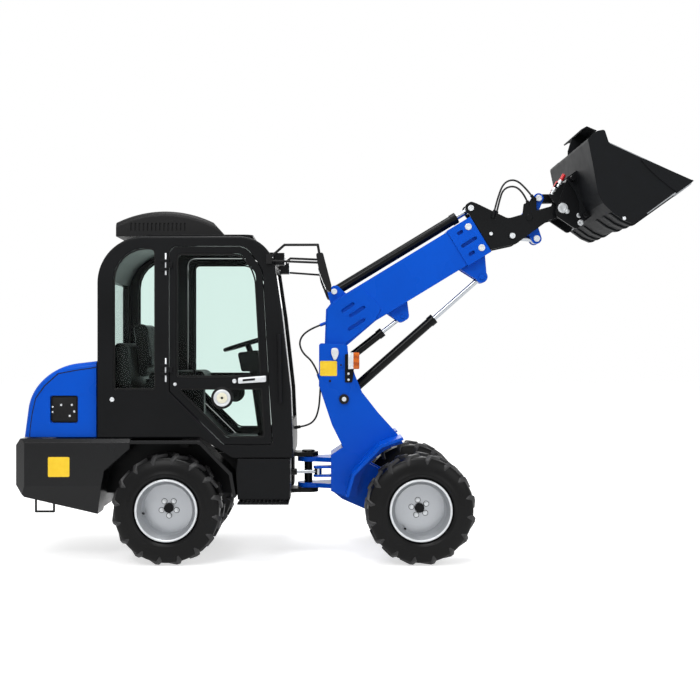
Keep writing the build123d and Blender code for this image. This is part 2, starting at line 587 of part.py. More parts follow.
# Doors: a frame with an upper and a lower pane each
DOOR_OUT = CAB_Y - 3
UPPER_PANE = [(-1236, 1318, 20), (-1236, 2192, 40), (-772, 2192, 70), (-676, 2050, 70), (-634, 1318, 20)]
LOWER_PANE = [(-1236, 1240, 15), (-630, 1240, 20), (-607, 890, 25), (-882, 890, 30)]
HANDLE = (-780.0, -615.0, 1300.0)
LOCK = (-913.0, 1171.0)
LOCK_R = 53.0
door_frames = []
door_panes = []
for side, name in ((-1, "right"), (1, "left")):
    lo = min(side * DOOR_OUT, side * (DOOR_OUT - DOOR_T))
    with BuildPart() as frame:
        slab(DOOR, lo, lo + DOOR_T)
        slab(UPPER_PANE, lo - 1, lo + DOOR_T + 1, mode=Mode.SUBTRACT)
        slab(LOWER_PANE, lo - 1, lo + DOOR_T + 1, mode=Mode.SUBTRACT)
        for x in (HANDLE[0], HANDLE[1]):
            rod((x, side * (DOOR_OUT - 5), HANDLE[2]), (x, side * (DOOR_OUT + 34), HANDLE[2]), 10)
        rod((HANDLE[0] - 14, side * (DOOR_OUT + 34), HANDLE[2]), (HANDLE[1] + 14, side * (DOOR_OUT + 34), HANDLE[2]), 12)
        for start, end, radius in ((lo + 6, lo + 15.7, LOCK_R - 8), (lo + 15.5, lo + 22.5, LOCK_R - 13), (lo + 22.3, lo + 32, LOCK_R - 8)):
            pin(LOCK, start, end, radius)
        outer = lo if side < 0 else lo + DOOR_T - 14
        pin(LOCK, outer, outer + 14, LOCK_R)
        for z in (1330, 2070):
            rod((HINGE_X, side * HINGE_Y, z + 21), (HINGE_X, side * HINGE_Y, z + 59), 11.4)
            leaf = min(side * (DOOR_OUT - 4), side * (HINGE_Y + 6))
            block(HINGE_X + 6, -1262, leaf, leaf + HINGE_Y + 10 - DOOR_OUT, z + 21, z + 59)
            rod((HINGE_X, side * HINGE_Y, z), (HINGE_X, side * HINGE_Y, z + 80), 7.4, mode=Mode.SUBTRACT)
    frame.part.label = "door_" + name
    door_frames.append(frame)
    with BuildPart() as panes:
        slab(UPPER_PANE, lo + 16, lo + 16 + GLASS_T)
        slab(LOWER_PANE, lo + 16, lo + 16 + GLASS_T)
        pin(LOCK, lo, lo + DOOR_T, LOCK_R - 12.7, mode=Mode.SUBTRACT)
    panes.part.label = "door_glass_" + name
    door_panes.append(panes)
door_right, door_left = door_frames
door_glass_right, door_glass_left = door_panes

# Wheels: pressed rim with an inset disc, and a tyre out to its lug tips
RIM_HALF = TYRE_W / 2 - 12
DISC_W = RIM_HALF - DISC_INSET
RIM_SECTION = [(205, RIM_HALF), (RIM_R, RIM_HALF), (RIM_R, RIM_HALF - 12), (195, RIM_HALF - 22), (188, RIM_HALF - 47),
               (188, 47 - RIM_HALF), (195, 22 - RIM_HALF), (RIM_R, 12 - RIM_HALF), (RIM_R, -RIM_HALF), (205, -RIM_HALF),
               (180, 37 - RIM_HALF), (180, DISC_W), (HUB_R, DISC_W), (HUB_R, DISC_W + 14), (178, DISC_W + 14),
               (180, RIM_HALF - 37)]
TYRE_SIDES = 16
LUG_COUNT = 16
LUG_TURN = 36.0
LUG_PHASE = 3.65
CARCASS = [(TYRE_R - 70, TYRE_W / 2), (TYRE_R - 36, TYRE_W / 2 - 10), (TYRE_R - 22, TYRE_W / 2 - 34)]
BEAD = [(278, TYRE_W / 2 + 1), (RIM_R + 6, RIM_HALF - 15), (199.5, RIM_HALF - 23)]


def turned(rings):
    """Many-sided drum along Y through (radius, half width) rings, alike on both sides."""
    faces = []
    for radius, w in [(r, -w) for r, w in rings] + rings[::-1]:
        with BuildSketch(Plane(origin=(0, w, 0), x_dir=(1, 0, 0), z_dir=(0, 1, 0))) as face:
            RegularPolygon(radius, TYRE_SIDES)
        faces.append(face.sketch)
    return faces


with BuildPart() as lug:
    with BuildSketch(Plane.YZ) as lug_side:
        with BuildLine():
            outline([(8, TYRE_R - 50), (8, TYRE_R - 3.5), (126, TYRE_R - 3.5), (162, TYRE_R - 40), (162, TYRE_R - 72)])
        make_face()
    extrude(lug_side.sketch, amount=21, both=True)
lug_right = lug.part.rotate(Axis((0, 67, 0), (0, 0, 1)), LUG_TURN)
lug_left = lug_right.mirror(Plane.XZ)
with BuildPart() as tread:
    loft(turned(CARCASS), ruled=True)
    loft(turned(BEAD), ruled=True, mode=Mode.SUBTRACT)
    step = 360.0 / LUG_COUNT
    add([lug_right.rotate(Axis.Y, step * i + LUG_PHASE) for i in range(LUG_COUNT)])
    add([lug_left.rotate(Axis.Y, step * (i + 0.5) + LUG_PHASE) for i in range(LUG_COUNT)])
rims = {}
tyres = {}
for name, x, side in (("rear_right", REAR_AXLE_X, -1), ("rear_left", REAR_AXLE_X, 1),
                      ("front_right", FRONT_AXLE_X, -1), ("front_left", FRONT_AXLE_X, 1)):
    centre = Plane(origin=(x, side * TYRE_Y, AXLE_Z), x_dir=(1, 0, 0), z_dir=(0, 0, 1))
    axle = Axis((x, 0, AXLE_Z), (0, 1, 0))
    with BuildPart() as rim:
        with BuildSketch(centre) as section:
            with BuildLine():
                outline([(r, side * w) for r, w in RIM_SECTION])
            make_face()
        revolve(section.sketch, axis=axle)
    rim.part.label = "rim_" + name
    rims[name] = rim
    with BuildPart() as tyre:
        add(tread.part.moved(Location((x, side * TYRE_Y, AXLE_Z))))
    tyre.part.label = "tyre_" + name
    tyres[name] = tyre

# Front frame: tower plates, floor, tongues on the articulation pin and the cylinder pins
ARCH_R = TYRE_R + 50
TOWER_SIDE = [(-231, 1562, 20), (-231, 1251), (-209, 1177), (-135, 955), (-54, 792), (-143, 733), (-143, 467), (FRONT_AXLE_X - 509, 422),
              (FRONT_AXLE_X - 285, 422), (FRONT_AXLE_X - 87, 600), (FRONT_AXLE_X - 87, 807), (FRONT_AXLE_X - 117, 866), (220, 1029),
              (87, 1199), (35, 1325), (-17, 1495), (-20, 1547, 15)]
SPINE_Y = 110.0
SPINE = [(-143, 467), (-143, 733), (-60, 788), (80, 700), (FRONT_AXLE_X - 150, 560), (FRONT_AXLE_X + 155, 560), (FRONT_AXLE_X + 155, 420),
         (FRONT_AXLE_X + 115, 330), (FRONT_AXLE_X - 385, 330), (-60, 400)]
PIVOT_BORE = PIVOT_PIN_R + 0.5
TONGUE_R = 80.0
with BuildPart() as front_frame:
    for side in (-1, 1):
        lo = min(side * TOWER_Y, side * (TOWER_Y + TOWER_T))
        slab(TOWER_SIDE, lo, lo + TOWER_T)
    pin((FRONT_AXLE_X, AXLE_Z), -200, 200, ARCH_R, mode=Mode.SUBTRACT)
    for side in (-1, 1):
        lo = min(side * SPINE_Y, side * (SPINE_Y - TOWER_T))
        slab(SPINE, lo, lo + TOWER_T)
    block(-143, -115, -TOWER_Y - 1, TOWER_Y + 1, 467, 733)
    block(-115, 60, -TOWER_Y - 1, TOWER_Y + 1, 600, 625)
    block(-115, FRONT_AXLE_X + 125, 5 - SPINE_Y, SPINE_Y - 5, 520, 545)
    block(FRONT_AXLE_X + 100, FRONT_AXLE_X + 125, 5 - SPINE_Y, SPINE_Y - 5, 345, 545)
    slab([(-143, 708), (-143, 733), (-62, 788), (-50, 770)], -TOWER_Y - 1, TOWER_Y + 1)
    pin((FRONT_AXLE_X - 255, 870), -TOWER_Y - 1, TOWER_Y + 1, 38)
    for z in (EAR_TOP_Z - EAR_T - 6 - 34, EAR_LOW_Z + EAR_T + 6):
        sheet([(-130, -140), (PIVOT_X + 60, -TONGUE_R), (PIVOT_X - TONGUE_R, -TONGUE_R, 78),
               (PIVOT_X - TONGUE_R, TONGUE_R, 78), (PIVOT_X + 60, TONGUE_R), (-130, 140)], z, z + 34)
    for z in (STEER_Z - 40, STEER_Z + 24):
        sheet([(-130, -150), (STEER_EYE[0] - 34, STEER_EYE[1] - 30, 28), (STEER_EYE[0] - 34, STEER_EYE[1] + 30, 28), (-130, -60)],
              z, z + 16)
    rod((PIVOT_X, 0, 400), (PIVOT_X, 0, 800), PIVOT_BORE, mode=Mode.SUBTRACT)
    pin(LIFT_PIVOT, -TOWER_Y - TOWER_T - 8, TOWER_Y + TOWER_T + 8, 34)
    pin(LEVEL_BASE, -TOWER_Y - TOWER_T - 6, TOWER_Y + TOWER_T + 6, 20)
    pin(LIFT_BASE, -TOWER_Y - TOWER_T - 8, TOWER_Y + TOWER_T + 8, 25)
    pin((FRONT_AXLE_X, AXLE_Z), -200, 200, 121, mode=Mode.SUBTRACT)
    for side in (-1, 1):
        lo = min(side * 60, side * SPINE_Y)
        slab([(FRONT_AXLE_X - 80, 400), (FRONT_AXLE_X - 80, 525), (FRONT_AXLE_X + 80, 525), (FRONT_AXLE_X + 80, 400)], lo, lo + SPINE_Y - 60)
    pin((FRONT_AXLE_X, AXLE_Z), -200, 200, 120, mode=Mode.SUBTRACT)
    block(-232, -212, -TOWER_Y - 1, TOWER_Y + 1, 1268, 1300)
    gland(STEER_HOSE[-2], STEER_HOSE[-1], STEER_HOSE_Y, 45)
    gland(LIFT_HOSE[1], LIFT_HOSE[0], LIFT_HOSE_Y, 45)
front_frame.part.label = "front_frame"

# Hoses from the cab wall to the tower, and from the tower to the boom foot
steer_hose = hose(STEER_HOSE, STEER_HOSE_Y, "steer_hose")
lift_hose = hose(LIFT_HOSE, LIFT_HOSE_Y, "lift_hose")

# Front fenders: bent plates behind and above the front wheels
FRONT_FENDER = [(FRONT_AXLE_X - 113, 879), (FRONT_AXLE_X - 272, 821), (FRONT_AXLE_X - 468, 618), (FRONT_AXLE_X - 512, 459)]
FRONT_FENDER_Y = 455.0
with BuildPart() as front_fenders:
    for side in (-1, 1):
        lo = min(side * (TOWER_Y + TOWER_T), side * FRONT_FENDER_Y)
        slab(FRONT_FENDER + parallel(FRONT_FENDER, -10)[::-1], lo, lo + FRONT_FENDER_Y - TOWER_Y - TOWER_T)
        lo = min(side * FRONT_FENDER_Y, side * (FRONT_FENDER_Y - 6))
        slab(FRONT_FENDER + parallel(FRONT_FENDER, 12)[::-1], lo, lo + 6)
front_fenders.part.label = "front_fenders"

with BuildPart() as tower_lamps:
    for side in (-1, 1):
        lo = min(side * (TOWER_Y + TOWER_T), side * (TOWER_Y + TOWER_T + 8))
        slab([(-40, 1270, 10), (-40, 1480, 10), (40, 1480, 10), (15, 1270, 10)], lo, lo + 8)
        lo = min(side * (TOWER_Y + TOWER_T + 8), side * (TOWER_Y + TOWER_T + 70))
        block(-15, 60, lo, lo + 62, 1372, 1490)
tower_lamps.part.label = "tower_lamps"

# Outer boom: a box with its foot, collar and cylinder lugs
HALF_B = BOOM_W / 2
BOOM_SLOTS = [((202, 236), (316, 244)), ((234, 176), (371, 180)), ((172, 96), (323, 100)), ((1240, 282), (1290, 282)),
              ((1217, 186), (1352, 188)), ((1232, 105), (1284, 105))]
with BuildPart() as outer_boom:
    for side in (-1, 1):
        lo = min(side * (HALF_B - BOOM_WALL), side * HALF_B)
        slab([(179, BOOM_TOP), (BOOM_END, BOOM_TOP), (BOOM_END, BOOM_LOW), (383, BOOM_LOW), (100, 0), (45, -35, 30), (-45, -30, 40),
              (-55, 60, 30), (111, 312)], lo, lo + BOOM_WALL, at=LIFT_PIVOT, angle=BOOM_ANGLE)
        lo = min(side * HALF_B, side * (HALF_B + 8))
        slab([(179, BOOM_TOP - 8), (420, BOOM_TOP - 8), (470, BOOM_LOW + 60), (383, BOOM_LOW + 4), (110, 20), (60, -15, 20), (-40, -10, 30),
              (-40, 60, 30), (120, 305)], lo, lo + 8, at=LIFT_PIVOT, angle=BOOM_ANGLE)
        slab([(1185, BOOM_LOW - 8), (1185, BOOM_TOP + 8), (BOOM_END, BOOM_TOP + 8), (BOOM_END, BOOM_LOW - 8)], lo, lo + 8,
             at=LIFT_PIVOT, angle=BOOM_ANGLE)
    inner_y = HALF_B - BOOM_WALL
    for v in (BOOM_LOW, BOOM_TOP - BOOM_WALL):
        u0 = 383 if v == BOOM_LOW else 179
        slab([(u0, v), (BOOM_END, v), (BOOM_END, v + BOOM_WALL), (u0, v + BOOM_WALL)], -inner_y, inner_y, at=LIFT_PIVOT,
             angle=BOOM_ANGLE)
    for v in (BOOM_LOW - 8, BOOM_TOP):
        slab([(1185, v), (BOOM_END, v), (BOOM_END, v + 8), (1185, v + 8)], -HALF_B, HALF_B, at=LIFT_PIVOT, angle=BOOM_ANGLE)
    slab([(111, 312), (179, BOOM_TOP), (185, BOOM_TOP - 10), (118, 302), (-20, 90), (-28, 96)], -inner_y, inner_y, at=LIFT_PIVOT,
         angle=BOOM_ANGLE)
    pin(LIFT_PIVOT, -TOWER_Y + 2, TOWER_Y - 2, 55)
    for side in (-1, 1):
        lo = min(side * 33, side * 50)
        pin(boom_point(*LIFT_EYE), lo, lo + 17, 46)
        slab([(LIFT_EYE[0] - 110, BOOM_LOW + 2), (LIFT_EYE[0] + 110, BOOM_LOW + 2), (LIFT_EYE[0] + 44, LIFT_EYE[1]),
              (LIFT_EYE[0] - 44, LIFT_EYE[1])], lo, lo + 17, at=LIFT_PIVOT, angle=BOOM_ANGLE)
        lo = min(side * 30, side * 44)
        slab([(LEVEL_EYE[0] - 90, BOOM_LOW + 2), (LEVEL_EYE[0] + 90, BOOM_LOW + 2), (LEVEL_EYE[0] + 38, LEVEL_EYE[1] - 38, 36),
              (LEVEL_EYE[0] - 38, LEVEL_EYE[1] - 38, 36)], lo, lo + 14, at=LIFT_PIVOT, angle=BOOM_ANGLE)
        lo = min(side * 40, side * 56)
        slab([(TELE_BACK_U - 70, BOOM_TOP - 2), (TELE_BACK_U - 40, TELE_V + 40, 38), (TELE_BACK_U + 40, TELE_V + 40, 38),
              (TELE_BACK_U + 70, BOOM_TOP - 2)], lo, lo + 16, at=LIFT_PIVOT, angle=BOOM_ANGLE)
        for at, r, y0, y1 in ((LIFT_EYE, 20, 33, 60), (LEVEL_EYE, 15, 30, 52)):
            lo = min(side * y0, side * y1)
            pin(boom_point(*at), lo, lo + y1 - y0, r)
        lo = min(side * (HALF_B - 15), side * (HALF_B + 15))
        for start, end in BOOM_SLOTS:
            slot(start, end, 26, lo, lo + 30, at=LIFT_PIVOT, angle=BOOM_ANGLE)
    pin(boom_point(TELE_BACK_U, TELE_V), -62, 62, 20)
    gland(LIFT_HOSE[-2], LIFT_HOSE[-1], LIFT_HOSE_Y, 50)
    pin(LIFT_PIVOT, -TOWER_Y, TOWER_Y, 34.5, mode=Mode.SUBTRACT)
outer_boom.part.label = "outer_boom"

# Telescope cylinder: tube on the outer boom, rod on the boom head
TELE_BACK = boom_point(TELE_BACK_U, TELE_V)
TELE_FRONT = boom_point(TELE_FRONT_U, TELE_V)
with BuildPart() as telescope_barrel:
    barrel(TELE_BACK, TELE_FRONT, 0, 1080, 38, 21, 38, 64, 20.2)
telescope_barrel.part.label = "telescope_barrel"

with BuildPart() as telescope_rod:
    piston(TELE_BACK, TELE_FRONT, 0, 1120, 20.5, 34, 60, 18)
telescope_rod.part.label = "telescope_rod"

# Inner boom that slides in the outer one
INNER_W = 160.0
INNER_LOW = 66.0
INNER_TOP = 318.0
INNER_BACK = 480.0
INNER_END = 1490.0
with BuildPart() as inner_boom:
    slab([(INNER_BACK, INNER_LOW), (INNER_END, INNER_LOW), (INNER_END, INNER_TOP), (INNER_BACK, INNER_TOP)], -INNER_W / 2,
         INNER_W / 2, at=LIFT_PIVOT, angle=BOOM_ANGLE)
    slab([(INNER_BACK - 5, INNER_LOW + 8), (INNER_END + 5, INNER_LOW + 8), (INNER_END + 5, INNER_TOP - 8),
          (INNER_BACK - 5, INNER_TOP - 8)], 8 - INNER_W / 2, INNER_W / 2 - 8, at=LIFT_PIVOT, angle=BOOM_ANGLE, mode=Mode.SUBTRACT)
    pin(hitch_point(TILT_BASE), -100, 100, 19, mode=Mode.SUBTRACT)
inner_boom.part.label = "inner_boom"

# Boom head: two nose plates that carry the hitch and the tilt linkage
HEAD_IN = INNER_W / 2
NOSE_HOSES = [(-108, [(1078, 2553), (1102, 2650), (1146, 2760), (1226, 2785), (1300, 2730), (1350, 2665)]),
              (-90, [(1098, 2545), (1115, 2622), (1145, 2715), (1226, 2740), (1292, 2690), (1322, 2625)])]


HEAD_SIDE = [(1397, 58), (1397, 350), (1390, 400), (1402, 440, 30), (1456, 440, 30), (1483, 407), (1627, 187, 60), (1941, 100),
             (2010, 99, 40), (2060, 41, 40), (2010, -17, 40), (1877, 17), (1767, 9), (1576, -7, 40), (1405, 52)]
with BuildPart() as boom_head:
    for side in (-1, 1):
        lo = min(side * HEAD_IN, side * (HEAD_IN + HEAD_T))
        slab(HEAD_SIDE, lo, lo + HEAD_T, at=LIFT_PIVOT, angle=BOOM_ANGLE)
        lo = min(side * 74, side * (HEAD_IN + HEAD_T + 6))
        pin(hitch_point(TILT_BASE), lo, lo + HEAD_T + 12, 19)
        pin(boom_point(1585, 59), min(side * 98, side * 112), max(side * 98, side * 112), 26)
        lo = min(side * 70, side * (HEAD_IN + HEAD_T + 54))
        pin(HITCH_XZ, lo, lo + HEAD_IN + HEAD_T - 16, 28)
    pin(hitch_point(TILT_BASE), -100, 100, 18)
    pin(hitch_point(CRANK), -106, 106, 25)
    pin(boom_point(1540, 250), -HEAD_IN - 2, HEAD_IN + 2, 24)
    pin(TELE_FRONT, -108, 108, 17.5)
    slab([(1285, 2505), (1296, 2600, 10), (1340, 2622), (1362, 2655, 8), (1392, 2650, 10), (1392, 2525)], -100, -90)
    for y, route in NOSE_HOSES:
        gland(route[1], route[0], y, 60)
        gland(route[-2], route[-1], y, 42)
boom_head.part.label = "boom_head"

# Two hoses that arch over the boom nose, from the tube end to the crank
nose_hoses = []
for name, (y, route) in zip(("near", "far"), NOSE_HOSES):
    nose_hoses.append(hose(route, y, "nose_hose_" + name))

# Tilt linkage: crank, link and cylinder
CRANK_IN = 42.0
with BuildPart() as bell_crank:
    for side in (-1, 1):
        lo = min(side * CRANK_IN, side * (CRANK_IN + 18))
        arm(hitch_point(CRANK), hitch_point(CRANK_UPPER), 50, 38, lo, lo + 18)
        arm(hitch_point(CRANK), hitch_point(CRANK_LOWER), 50, 38, lo, lo + 18)
        for at in (CRANK_UPPER, CRANK_LOWER):
            pin(hitch_point(at), min(side * CRANK_IN, side * 70), max(side * CRANK_IN, side * 70), 19)
    pin(hitch_point(CRANK), -76, 76, 42)
    pin(hitch_point(CRANK), -90, 90, 25.5, mode=Mode.SUBTRACT)
bell_crank.part.label = "bell_crank"

with BuildPart() as tilt_link:
    arm(hitch_point(LINK_PIN), hitch_point(CRANK_UPPER), 30, 34, -30, 30)
    for at in (LINK_PIN, CRANK_UPPER):
        pin(hitch_point(at), -40, 40, 20.5, mode=Mode.SUBTRACT)
tilt_link.part.label = "tilt_link"

# Hitch frame: two side plates, cross tubes and the ears for the link
HITCH_SIDE = [(-25, 33, 15), (140, 150), (178, 168, 15), (205, 150, 15), (150, 5), (125, -50), (114, -126), (84, -163), (-8, -195, 30),
              (-82, 3, 50)]
HITCH_Y = 130.0
COUPLER_TAB = 10.0
UPPER_TUBE = (178.0, 136.0)
LOWER_TUBE = (92.0, -140.0)


def bucket_point(p):
    """World x, z of a point in the bucket's own frame."""
    a = radians(BUCKET_ANGLE)
    return hitch_point((p[0] * cos(a) - p[1] * sin(a), p[0] * sin(a) + p[1] * cos(a)))


with BuildPart() as hitch_frame:
    for side in (-1, 1):
        lo = min(side * HITCH_Y, side * (HITCH_Y + 20))
        slab(HITCH_SIDE, lo, lo + 20, at=HITCH_XZ, angle=BUCKET_ANGLE)
        lo = min(side * 104, side * 152)
        pin(HITCH_XZ, lo, lo + 48, 48)
        lo = min(side * 34, side * 52)
        slab([(88, 8, 20), (88, 60, 20), (140, 84), (183, 75), (147, -8)], lo, lo + 18, at=HITCH_XZ, angle=BUCKET_ANGLE)
    slab([(127.9, -31.3), (137.8, -36.1), (200.3, 94.7), (190.4, 99.5)], -135, 135, at=HITCH_XZ, angle=BUCKET_ANGLE)
    pin(bucket_point(UPPER_TUBE), -235, 235, 22)
    pin(bucket_point(LOWER_TUBE), -235, 235, 16)
    pin(hitch_point(LINK_PIN), -66, 66, 20)
    slab([(-38, 20), (-100, 96, 15), (-40, 196, 15), (24, 190), (5, 120)], -HITCH_Y - 1, -HITCH_Y + COUPLER_TAB, at=HITCH_XZ)
    for side in (-1, 1):
        lo = min(side * 60, side * 160)
        pin(HITCH_XZ, lo, lo + 100, 28.4, mode=Mode.SUBTRACT)
hitch_frame.part.label = "hitch_frame"

# Quick couplers for an attachment's hydraulics, clamped to the tab
COUPLER_R = 17.0
COUPLER_Y = -HITCH_Y + COUPLER_TAB + COUPLER_R + 0.3
COUPLER_DIR = (0.5, 0.866)
with BuildPart() as couplers:
    for foot in ((-80, 104), (-34, 158)):
        for start, end, radius in ((0, 46, COUPLER_R - 5), (30, 70, COUPLER_R), (64, 112, COUPLER_R - 2)):
            low = hitch_point((foot[0] + COUPLER_DIR[0] * start, foot[1] + COUPLER_DIR[1] * start))
            top = hitch_point((foot[0] + COUPLER_DIR[0] * end, foot[1] + COUPLER_DIR[1] * end))
            rod((low[0], COUPLER_Y, low[1]), (top[0], COUPLER_Y, top[1]), radius)
couplers.part.label = "couplers"

# Bucket: bent skin, side plates, folded top and hooks on the hitch tubes
BUCKET_BACK = [(725, -369), (226, -369), (205, -358), (169, -300), (139, -214), (124, -126), (136, -49), (235, 157), (293, 287), (304, 299),
               (414, 291)]
HALF_K = BUCKET_W / 2
GUARD = [(396, 286), (497, 317), (455, 385), (408, 390)]
GUARD_Y = 290.0
with BuildPart() as bucket:
    slab(BUCKET_BACK + parallel(BUCKET_BACK, -BUCKET_T)[::-1], -HALF_K, HALF_K, at=HITCH_XZ, angle=BUCKET_ANGLE)
    for side in (-1, 1):
        lo = min(side * (HALF_K - BUCKET_T), side * HALF_K)
        slab(BUCKET_BACK[:-1] + [(384, 306, 18), (432, 284, 18), (404, 196)], lo, lo + BUCKET_T, at=HITCH_XZ, angle=BUCKET_ANGLE)
        lo = min(side * HALF_K, side * (HALF_K + 8))
        slab([(530, -36), (511, -36), (517, -104), (535, -203), (578, -352), (578, -369), (725, -369)], lo, lo + 8, at=HITCH_XZ,
             angle=BUCKET_ANGLE)
        lo = min(side * 156, side * 176)
        slab([(145, 166), (238, 166), (240, 157), (141, -49), (129, -126), (133, -172), (66, -172), (66, -112), (118, -40), (140, 40)],
             lo, lo + 20, at=HITCH_XZ, angle=BUCKET_ANGLE)
    slab(GUARD + parallel(GUARD, 10)[::-1], -GUARD_Y, GUARD_Y, at=HITCH_XZ, angle=BUCKET_ANGLE)
    slab([(296, 290), (320, 324), (359, 354), (408, 390), (455, 385), (497, 317), (404, 288)], -6, 6, at=HITCH_XZ, angle=BUCKET_ANGLE)
    pin(bucket_point(UPPER_TUBE), -300, 300, 22.3, mode=Mode.SUBTRACT)
    pin(bucket_point(LOWER_TUBE), -300, 300, 16.3, mode=Mode.SUBTRACT)
bucket.part.label = "bucket"

# Lift, levelling and tilt cylinders in the middle plane
LIFT_EYE_XZ = boom_point(*LIFT_EYE)
LEVEL_EYE_XZ = boom_point(*LEVEL_EYE)
with BuildPart() as lift_barrel:
    barrel(LIFT_BASE, LIFT_EYE_XZ, 0, 909, 36, 20.6, 44, 62, 25.5)
lift_barrel.part.label = "lift_barrel"

with BuildPart() as lift_rod:
    piston(LIFT_BASE, LIFT_EYE_XZ, 0, 890, 20, 40, 60, 20.5)
lift_rod.part.label = "lift_rod"

with BuildPart() as comp_barrel:
    barrel(LEVEL_BASE, LEVEL_EYE_XZ, 0, 403, 31, 16.6, 34, 54, 20.5)
comp_barrel.part.label = "comp_barrel"

with BuildPart() as comp_rod:
    piston(LEVEL_BASE, LEVEL_EYE_XZ, 0, 425, 16, 32, 54, 15.5)
comp_rod.part.label = "comp_rod"

with BuildPart() as tilt_barrel:
    barrel(hitch_point(TILT_BASE), hitch_point(CRANK_LOWER), 0, 226, 31, 20.6, 34, 60, 18.5)
tilt_barrel.part.label = "tilt_barrel"

with BuildPart() as tilt_rod:
    piston(hitch_point(TILT_BASE), hitch_point(CRANK_LOWER), 0, 222, 20, 34, 2 * CRANK_IN - 4, 19.5)
tilt_rod.part.label = "tilt_rod"

# Steering cylinder, lying between the two frames on the right
STEER_LEN = hypot(STEER_EYE[0] - STEER_BASE[0], STEER_EYE[1] - STEER_BASE[1])
STEER_DIR = ((STEER_EYE[0] - STEER_BASE[0]) / STEER_LEN, (STEER_EYE[1] - STEER_BASE[1]) / STEER_LEN)


def steer_at(s):
    """Point on the steering cylinder's axis."""
    return (STEER_BASE[0] + STEER_DIR[0] * s, STEER_BASE[1] + STEER_DIR[1] * s, STEER_Z)


with BuildPart() as steer_barrel:
    rod(steer_at(0), steer_at(340), 24)
    rod((*STEER_BASE, STEER_Z - 22), (*STEER_BASE, STEER_Z + 22), 28)
    rod(steer_at(32), steer_at(341), 13.1, mode=Mode.SUBTRACT)
    rod((*STEER_BASE, STEER_Z - 50), (*STEER_BASE, STEER_Z + 50), 14.4, mode=Mode.SUBTRACT)
steer_barrel.part.label = "steer_barrel"

with BuildPart() as steer_rod:
    rod(steer_at(STEER_LEN - 345), steer_at(STEER_LEN), 12.5)
    rod((*STEER_EYE, STEER_Z - 22), (*STEER_EYE, STEER_Z + 22), 27)
    rod((*STEER_EYE, STEER_Z - 50), (*STEER_EYE, STEER_Z + 50), 12.5, mode=Mode.SUBTRACT)
steer_rod.part.label = "steer_rod"

for node in (rear_chassis, counterweight, engine_block, rear_axle, front_axle, rear_fenders, side_boxes, cab_base, cab_frame,
             cab_roof, roof_cooler, quarter_windows, windscreen, rear_window, seat_cushion, seat_back, steering_column,
             control_lever, work_lamps, mirrors, hand_rails, engine_hood, hood_hinges, door_right, door_left, door_glass_right,
             door_glass_left, front_frame, front_fenders, tower_lamps, outer_boom, telescope_barrel, telescope_rod, inner_boom,
             boom_head, couplers, bell_crank, tilt_link, hitch_frame, bucket, lift_barrel, lift_rod, comp_barrel, comp_rod,
             tilt_barrel, tilt_rod, steer_barrel, steer_rod, *nose_hoses, steer_hose, lift_hose, *rims.values(), *tyres.values()):
    export_step(node.part, "parts/" + node.part.label + ".step")
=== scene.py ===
from math import copysign, cos, exp, pi, radians, sin

import bmesh
import bpy
from mathutils import Euler, Matrix, Vector


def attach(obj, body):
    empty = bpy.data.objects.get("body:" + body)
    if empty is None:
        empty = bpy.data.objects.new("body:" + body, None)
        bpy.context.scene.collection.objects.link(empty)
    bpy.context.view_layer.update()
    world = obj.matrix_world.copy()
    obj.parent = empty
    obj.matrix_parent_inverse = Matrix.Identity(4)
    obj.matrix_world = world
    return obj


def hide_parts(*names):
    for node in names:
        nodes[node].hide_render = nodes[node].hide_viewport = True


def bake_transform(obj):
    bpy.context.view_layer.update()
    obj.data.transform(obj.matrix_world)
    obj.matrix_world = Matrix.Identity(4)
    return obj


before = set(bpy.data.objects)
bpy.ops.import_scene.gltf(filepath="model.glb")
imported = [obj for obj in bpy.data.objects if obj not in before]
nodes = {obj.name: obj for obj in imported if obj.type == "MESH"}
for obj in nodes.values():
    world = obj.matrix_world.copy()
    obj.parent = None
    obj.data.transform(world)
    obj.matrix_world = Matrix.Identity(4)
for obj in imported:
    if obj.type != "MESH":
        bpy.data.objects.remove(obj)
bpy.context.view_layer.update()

# Studio
# A pale paper floor, a white surround and four softboxes, with the camera square to the machine's right
# side as in a catalogue picture: a short telephoto about eight metres away.
EYE = (-0.150, -8.05, 1.51)
FOCAL_MM = 54.76
FRAME_SHIFT = 0.0286
SURROUND_LIGHT = 0.5
FLOOR_GLOW = 0.62
LAMPS = (("key", (-3.0, -7.5, 7.0), 3.6, 310.0), ("fill", (5.5, -6.5, 4.5), 5.0, 130.0),
         ("top", (-0.6, -1.2, 8.0), 3.6, 340.0), ("back", (-1.0, 8.0, 5.0), 6.0, 160.0))
LAMP_AIM = Vector((0.0, 0.0, 1.1))
camera = bpy.data.objects.new("camera", bpy.data.cameras.new("camera"))
camera.data.sensor_width = 36.0
camera.data.lens = FOCAL_MM
camera.data.shift_x = FRAME_SHIFT
camera.location = EYE
camera.rotation_euler = (pi / 2, 0, 0)
bpy.context.scene.collection.objects.link(camera)
bpy.context.scene.camera = camera
bpy.context.scene.view_settings.view_transform = "Standard"


def linear(code):
    """The linear colour of an sRGB hex code."""
    parts = [int(code[i:i + 2], 16) / 255 for i in (1, 3, 5)]
    return [p / 12.92 if p <= 0.04045 else ((p + 0.055) / 1.055) ** 2.4 for p in parts] + [1.0]


def add_node(tree, kind, settings=None, links=None):
    """One shader node of a kind, with its attributes or input values and its incoming links."""
    node = tree.nodes.new("ShaderNode" + kind)
    for key, value in (settings or {}).items():
        if isinstance(key, str) and hasattr(node, key):
            setattr(node, key, value)
        else:
            node.inputs[key].default_value = value
    for key, (source, output) in (links or {}).items():
        tree.links.new(source.outputs[output], node.inputs[key])
    return node


